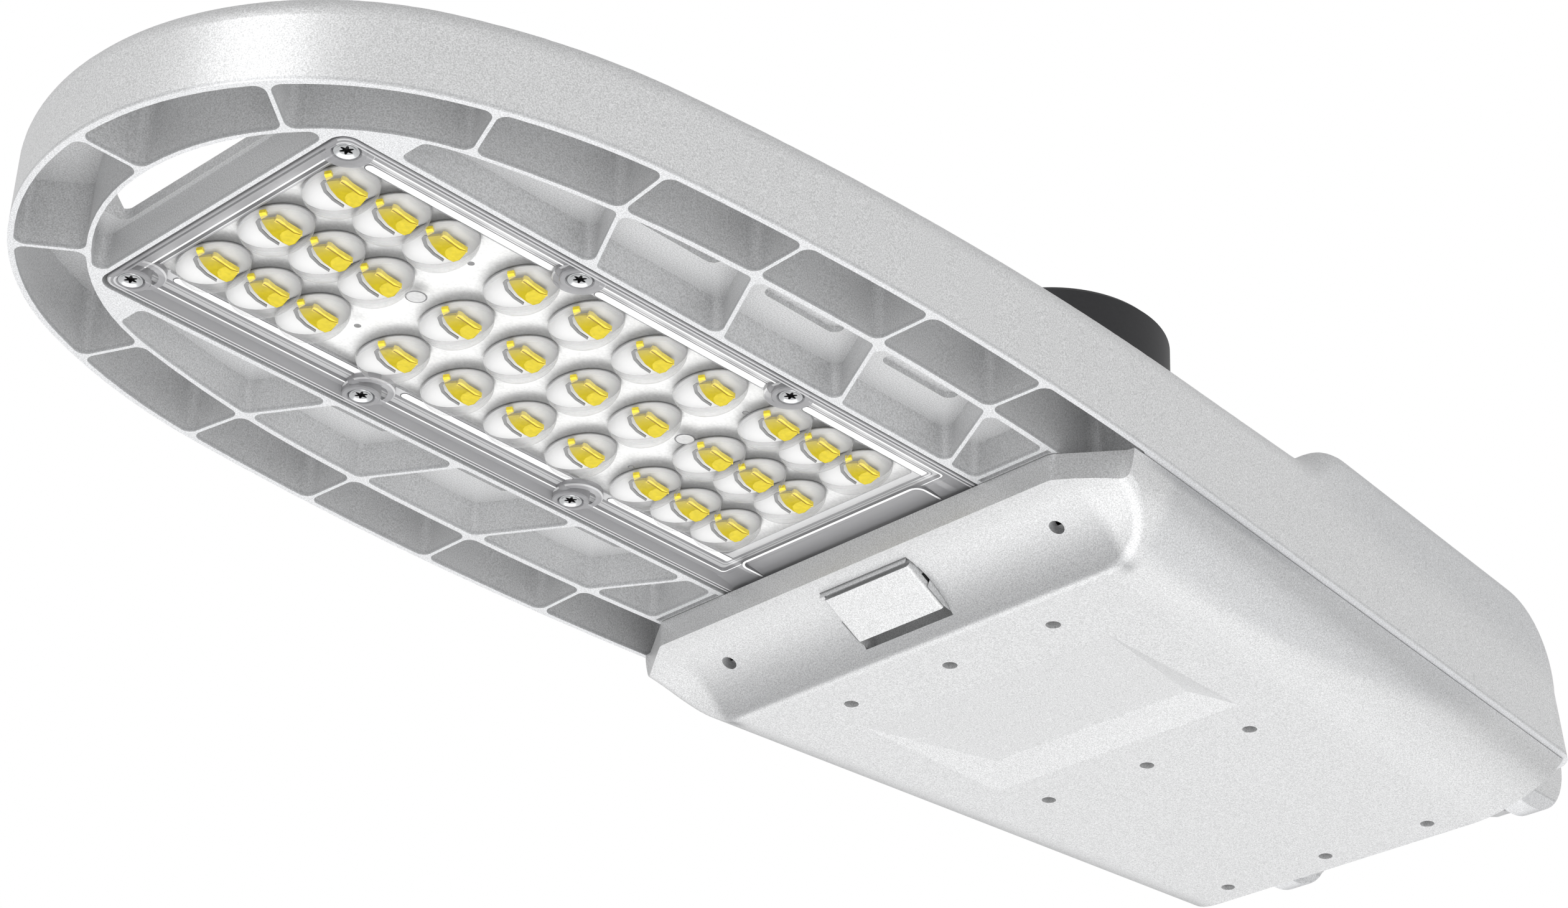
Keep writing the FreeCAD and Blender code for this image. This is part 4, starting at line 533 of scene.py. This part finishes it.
def rearLine(look, inset, level):
    radius = look["cornerRadius"] - inset
    side = look["halfWidth"] - inset
    top = look["reach"] - inset
    line = [(look["rear"], -side, level)]
    for turn, centre in ((-90, -1), (0, 1)):
        for step in range(look["cornerSteps"] + 1):
            angle = math.radians(turn + 90 * step / look["cornerSteps"])
            line.append((top - radius + radius * math.cos(angle),
                         centre * (side - radius) + radius * math.sin(angle), level))
    line.append((look["rear"], side, level))
    return line


def buildRearLine(form):
    bands = rearLineLook["bands"]
    lines = [[form.verts.new(spot) for spot in rearLine(rearLineLook, inset, level)]
             for inset, level, finish in bands]
    for number, (outer, inner) in enumerate(zip(lines, lines[1:])):
        for step in range(1, len(outer)):
            face = form.faces.new([outer[step - 1], outer[step], inner[step], inner[step - 1]])
            face.material_index = bands[number][2]


rearRidge = meshPiece("rearRidge", buildRearLine, [brightStrip, stripShade])
print("rear line made")


# Pocket behind the finger latch, seen past the latch's edges
pocketLook = {
    "halfWidth": 17.1,
    # The pocket's back and its top seen from the side (X, Z)
    "back": [(228.1, -42.3), (228.4, -38), (229.4, -33.5), (231.4, -29.4)],
    "top": [(252.1, -31.4), (252.6, -33.7)],
    # How the outline of its end walls goes on from the back
    "endFront": [(240, -28.5), (243, -37.6), (236, -41)],
}


def buildPocket(form):
    half = pocketLook["halfWidth"]
    for profile in (pocketLook["back"], pocketLook["top"]):
        edges = [[form.verts.new((x, side * half, z)) for x, z in profile] for side in (-1, 1)]
        for step in range(1, len(profile)):
            form.faces.new([edges[0][step - 1], edges[0][step], edges[1][step], edges[1][step - 1]])
    endWall = pocketLook["back"] + pocketLook["endFront"]
    for side in (-1, 1):
        form.faces.new([form.verts.new((x, side * half, z)) for x, z in endWall])


latchPocket = meshPiece("latchPocket", buildPocket, [latchPaint], body="door")
smooth(latchPocket, 60)
print("latch pocket made")


# Light sources in ten columns of three, and the domes over them
ledLook = {
    "firstReach": 467.8, "rows": (-26, 0, 26),
    "steps": (16.5, 16.4, 27.5, 22.8, 22.8, 22.9, 24.9, 16.1, 16.1),
    "domeShift": (2.0, 0.8),
}
domeLook = {
    "halfLength": 8.5, "halfWidth": 12.1, "height": 6.0, "lean": -1.5,
    "rings": 10, "segments": 40,
    "reach": 37.5,  # nothing of a dome goes further out than this
    # Painted shade on the skin, thickest at the foot: how far up the dome, how thick
    "footShade": [(0, 0.55), (0.35, 0.36), (0.6, 0.12), (0.78, 0.01), (1, 0)],
    "glass": (0.5, 0.5, 0.505), "glassRoughness": 0.06,
    "blend": 0.5, "edgeStart": 0.62, "edgeCover": 0.7,  # how the edge of a dome turns solid
    # Painted shade on the floor under each dome: tone towards the nose and towards the rear near corner
    "floor": (0.76, 0.28), "floorRings": (1, 0.66, 0.33), "floorTurn": 133, "floorFall": 1.6,
    "floorRoughness": 0.5,
    # Painted shade round the foot of each dome, strongest towards one side: how far out, how dark
    "shadeRing": [(-0.5, 0.85), (0.25, 1), (0.45, 0.32), (0.9, 0)], "shadeTurn": 46, "shadeFall": 0.7,
    "shadeColour": (0.03, 0.03, 0.032), "shadeRoughness": 0.3,
    # How far the floor and the painted shade lie in front of the panel
    "floorLift": 0.03, "shadeLift": 0.05,
}


def ledPlaces(look):
    reach = look["firstReach"]
    places = []
    for step in (*look["steps"], 0):
        places += [(reach, row) for row in look["rows"]]
        reach -= step
    return places


def domePlaces(look):
    shiftX, shiftY = look["domeShift"]
    return [(x + shiftX, y + shiftY) for x, y in ledPlaces(look)]


def ovalRing(form, x, y, halfLength, halfWidth, level):
    ring = []
    reach = domeLook["reach"]
    for step in range(domeLook["segments"]):
        angle = 2 * math.pi * step / domeLook["segments"]
        side = y + halfWidth * math.sin(angle)
        ring.append(form.verts.new((x + halfLength * math.cos(angle), max(-reach, min(reach, side)), level)))
    return ring


# How much a ring's point looks towards a direction, 1 straight at it and 0 sideways or away
def facing(step, degrees):
    angle = 2 * math.pi * step / domeLook["segments"]
    return max(0.0, math.cos(angle - math.radians(degrees)))


def between(stops, spot):
    for (low, first), (high, last) in zip(stops, stops[1:]):
        if spot <= high:
            return first + (last - first) * (spot - low) / (high - low)
    return stops[-1][1]


def paintLoops(face, layer, tones):
    for loop in face.loops:
        tone = tones[loop.vert]
        loop[layer] = (tone, tone, tone, 1)


def skinRings(form, rings, layer, tones):
    for low, high in zip(rings, rings[1:]):
        for step in range(len(low)):
            face = form.faces.new([low[step - 1], low[step], high[step], high[step - 1]])
            paintLoops(face, layer, tones)


def buildDomes(form):
    footShade = form.loops.layers.float_color.new("footShade")
    look = domeLook
    for x, y in domePlaces(ledLook):
        tones = {}
        rings = []
        for number in range(look["rings"]):
            up = math.pi / 2 * number / look["rings"]
            spread = math.cos(up)
            rise = math.sin(up)
            ring = ovalRing(form, x + look["lean"] * rise, y, look["halfLength"] * spread,
                            look["halfWidth"] * spread, lensLook["panel"] - look["height"] * rise)
            tones.update({vert: between(look["footShade"], rise) for vert in ring})
            rings.append(ring)
        skinRings(form, rings, footShade, tones)
        paintLoops(form.faces.new(rings[-1]), footShade, tones)


def buildDomeFloors(form):
    layer = form.loops.layers.float_color.new("tone")
    look = domeLook
    light, dark = look["floor"]
    for x, y in domePlaces(ledLook):
        tones = {}
        rings = []
        for share in look["floorRings"]:
            ring = ovalRing(form, x, y, look["halfLength"] * share, look["halfWidth"] * share,
                            lensLook["panel"] - look["floorLift"])
            for step, vert in enumerate(ring):
                turned = share * facing(step, look["floorTurn"])
                tones[vert] = light + (dark - light) * turned ** look["floorFall"]
            rings.append(ring)
        skinRings(form, rings, layer, tones)
        paintLoops(form.faces.new(rings[-1]), layer, tones)


# A flat ring of painted shade round each dome's foot
def buildDomeShadeRings(form):
    layer = form.loops.layers.float_color.new("fade")
    look = domeLook
    for x, y in domePlaces(ledLook):
        tones = {}
        rings = []
        for width, fade in look["shadeRing"]:
            ring = ovalRing(form, x, y, look["halfLength"] + width, look["halfWidth"] + width,
                            lensLook["panel"] - look["shadeLift"])
            for step, vert in enumerate(ring):
                tones[vert] = fade * facing(step, look["shadeTurn"]) ** look["shadeFall"]
            rings.append(ring)
        skinRings(form, rings, layer, tones)


def domeFinish(look):
    material, tree, shader = newMaterial("domeGlass")
    shader.inputs["Base Color"].default_value = (*look["glass"], 1)
    shader.inputs["Roughness"].default_value = look["glassRoughness"]
    edge = mapRange(tree, facingIn(tree, look["blend"]), (look["edgeStart"], 1), (0, look["edgeCover"]))
    cover = mathFrom(tree, "MAXIMUM", edge, attributeIn(tree, "footShade").outputs["Fac"])
    tree.links.new(cover, shader.inputs["Alpha"])
    return material


def domeFloorFinish(look):
    material, tree, shader = newMaterial("domeFloor")
    tree.links.new(attributeIn(tree, "tone").outputs["Color"], shader.inputs["Base Color"])
    shader.inputs["Roughness"].default_value = look["floorRoughness"]
    return material


def domeShadeFinish(look):
    material, tree, shader = newMaterial("moatShade")
    shader.inputs["Base Color"].default_value = (*look["shadeColour"], 1)
    shader.inputs["Roughness"].default_value = look["shadeRoughness"]
    tree.links.new(attributeIn(tree, "fade").outputs["Fac"], shader.inputs["Alpha"])
    return material


domes = meshPiece("lensDomes", buildDomes, [domeFinish(domeLook)])
smooth(domes, 60)
domeFloors = meshPiece("domeFloors", buildDomeFloors, [domeFloorFinish(domeLook)])
domeShadeRings = meshPiece("paintedDomeShade", buildDomeShadeRings, [domeShadeFinish(domeLook)])
print("domes made")


# Lens screws: bright heads sunk in clear bosses, each with a dark star recess
screwLook = {
    "segments": 36,
    # Profiles from the foot to the middle: radius, level
    "head": [(3.5, -20.8), (3.5, -22.6), (3.25, -22.95), (2.9, -22.9), (2.3, -22.55), (2.05, -22.5)],
    "boss": [(5.4, -19.6), (5.4, -22.7), (5.1, -23.05), (3.9, -23.05), (3.6, -22.6), (3.6, -21.6)],
    "ear": [(7.3, -19.6), (7.3, -21.2), (6.9, -21.6), (5.2, -21.6)], "earShift": (-1.2, -1.6),
    "pip": [(2.0, -19.6), (2.0, -21.3), (1.6, -21.9), (0.8, -22.2), (0.2, -22.3)],
    "pipShift": (4.2, -2.2), "pipSegments": 18,
    "starOuter": 1.95, "starInner": 0.95, "starTop": -22.5, "starFloor": -21.4, "points": 6,
}


def starRing(form, x, y, level, look):
    ring = []
    for step in range(look["segments"]):
        angle = 2 * math.pi * step / look["segments"]
        lobe = 0.5 + 0.5 * math.cos(look["points"] * angle)
        radius = look["starInner"] + (look["starOuter"] - look["starInner"]) * lobe
        ring.append(form.verts.new((x + radius * math.cos(angle), y + radius * math.sin(angle), level)))
    return ring


# The shift runs along the lens and towards its edge, the same way on both sides
def shifted(x, y, shift):
    return x + shift[0], y + math.copysign(1, y) * shift[1]


def buildScrewHeads(form):
    look = screwLook
    for x, y in screwPlaces:
        rings = turnedRings(form, x, y, look["head"], look["segments"])
        rings.append(starRing(form, x, y, look["starTop"], look))
        bridge(form, rings, [0])
        deep = [rings[-1], starRing(form, x, y, look["starFloor"], look)]
        bridge(form, deep, [1])
        form.faces.new(deep[-1]).material_index = 1


def buildScrewBosses(form):
    look = screwLook
    for x, y in screwPlaces:
        bridge(form, turnedRings(form, x, y, look["boss"], look["segments"]), [1, 2, 2, 1, 1])
        ear = turnedRings(form, *shifted(x, y, look["earShift"]), look["ear"], look["segments"])
        bridge(form, ear, [1, 0, 2])


def buildPips(form):
    look = screwLook
    for x, y in screwPlaces:
        rings = turnedRings(form, *shifted(x, y, look["pipShift"]), look["pip"], look["pipSegments"])
        bridge(form, rings, [0])
        form.faces.new(rings[-1])


starShade = mouldedPlastic("starShade", (0.012, 0.012, 0.013), 0.4)
screwHeads = meshPiece("screwHeads", buildScrewHeads, [screwSteel, starShade])
smooth(screwHeads, 40)
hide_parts("lens_screws")
# The bosses and pips wear the border's painted reflection and painted shade
bosses = meshPiece("screwBosses", buildScrewBosses, [clearTread, clearRiser, shadedTread])
smooth(bosses, 40)
pips = meshPiece("borderPips", buildPips, [clearRiser])
smooth(pips, 60)
print("lens screws made")


# Round locating pads and small dots on the panel
padLook = {
    "segments": 24,
    # Rings: radius, level, finish
    "pads": [(424.3, 2.0), (326.5, 2.0)],
    "padRings": [(3.0, -19.66, 1), (2.55, -19.74, 0), (0.05, -19.74, 0)],
    "dots": [(425.3, 25.0), (425.3, -20.8), (325.6, 25.0), (325.6, -20.8)],
    "dotRings": [(1.0, -19.66, 1), (0.65, -19.74, 2), (0.05, -19.74, 2)],
}


def buildPads(form):
    for places, profile in ((padLook["pads"], padLook["padRings"]), (padLook["dots"], padLook["dotRings"])):
        for x, y in places:
            rings = turnedRings(form, x, y, [(radius, level) for radius, level, finish in profile],
                                padLook["segments"])
            bridge(form, rings, [finish for radius, level, finish in profile])
            form.faces.new(rings[-1]).material_index = profile[-1][2]


padFace = mouldedPlastic("padFace", (0.56, 0.56, 0.56), 0.4, bump=0.03)
dotFace = mouldedPlastic("dotFace", (0.2, 0.2, 0.2), 0.5, bump=0.03)
panelPads = meshPiece("panelPads", buildPads, [padFace, stripShade, dotFace])
print("panel pads made")


# Light sources as the domes show them: a cut yellow face, a bright bar along it and a small tab. The pale
# facet, the bar and the tab are painted highlight; the groove line and the grey cavity band are painted
# shade
gemLook = {
    "level": -21.5, "depth": 0.7, "shine": 0.12,
    "face": [(7.8, 2.4), (4.6, 0.4), (1.4, -1.0), (-2.3, -1.7), (-4.3, -1.6), (-4.8, 0.3), (-3.8, 3.8),
             (-2.8, 5.2), (-0.9, 4.5), (2.4, 5.0), (5.9, 5.4)],
    "facet": [(-4.6, -0.2), (-3.8, 3.8), (-2.8, 5.1), (-1.0, 4.4), (0.6, 4.7), (0.9, 2.0), (0.2, 0.3),
              (-1.2, -0.9), (-2.6, -1.5), (-4.1, -1.5)],
    "groove": [(5.7, 5.5), (2.4, 5.1), (-0.9, 4.6), (-2.7, 5.2), (-2.8, 5.6), (-0.9, 5.0), (2.3, 5.6),
               (5.6, 6.0)],
    "bar": [(5.6, 5.0), (6.2, 6.7), (5.2, 7.0), (2.2, 6.1), (-2.9, 5.6), (-3.4, 5.0), (-0.9, 4.6),
            (2.4, 5.3)],
    "tab": [(10.4, 4.8), (9.6, 6.4), (8.2, 5.6), (8.2, 3.0)],
    "cavity": [(8.6, 2.2), (8.2, 0.6), (5.4, -1.6), (1.4, -3.0), (-2.4, -3.4)],
    "cavityShare": 0.9, "cavityShift": (0.2, 0.9), "cavityDepth": 0.2,
    # How far each stands out in front of the face
    "facetLift": 0.04, "barLift": 0.5, "grooveLift": 0.55, "tabLift": 0.2, "cavityLift": 0.1,
}


def extrudeOutline(form, outline, x, y, low, high, index):
    bottom = [form.verts.new((x + dx, y + dy, low)) for dx, dy in outline]
    top = [form.verts.new((x + dx, y + dy, high)) for dx, dy in outline]
    for step in range(len(outline)):
        face = form.faces.new([top[step - 1], top[step], bottom[step], bottom[step - 1]])
        face.material_index = index
    form.faces.new(bottom).material_index = index
    form.faces.new(top).material_index = index


def layFacet(form, outline, x, y, level, index):
    form.faces.new([form.verts.new((x + dx, y + dy, level)) for dx, dy in outline]).material_index = index


def buildGems(form):
    look = gemLook
    level = look["level"]
    back = level + look["depth"]
    shiftX, shiftY = look["cavityShift"]
    inner = [(dx * look["cavityShare"] + shiftX, dy + shiftY) for dx, dy in look["cavity"]]
    cavity = look["cavity"] + inner[::-1]
    for x, y in ledPlaces(ledLook):
        extrudeOutline(form, look["face"], x, y, level, back, 0)
        layFacet(form, look["facet"], x, y, level - look["facetLift"], 3)
        extrudeOutline(form, look["bar"], x, y, level - look["barLift"], back, 1)
        layFacet(form, look["groove"], x, y, level - look["grooveLift"], 4)
        extrudeOutline(form, look["tab"], x, y, level - look["tabLift"], back, 1)
        extrudeOutline(form, cavity, x, y, level - look["cavityLift"], level + look["cavityDepth"], 2)


# Lit and shaded copies of the yellow: painted highlight and painted shade
litPhosphor = mouldedPlastic("litPhosphor", (0.85, 0.68, 0.06), 0.3, bump=0.02)
cavityShade = mouldedPlastic("cavityShade", (0.2, 0.2, 0.2), 0.25)
litFacet = mouldedPlastic("litFacet", (0.62, 0.5, 0.03), 0.3, bump=0.02)
grooveShade = mouldedPlastic("grooveShade", (0.3, 0.2, 0.0), 0.4, bump=0.02)
for finish in (phosphor, litPhosphor, litFacet, grooveShade):
    finish.node_tree.nodes["Principled BSDF"].inputs["Specular IOR Level"].default_value = gemLook["shine"]
gems = meshPiece("lightSources", buildGems, [phosphor, litPhosphor, cavityShade, litFacet, grooveShade])
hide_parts("led_emitters")
print("light sources made")
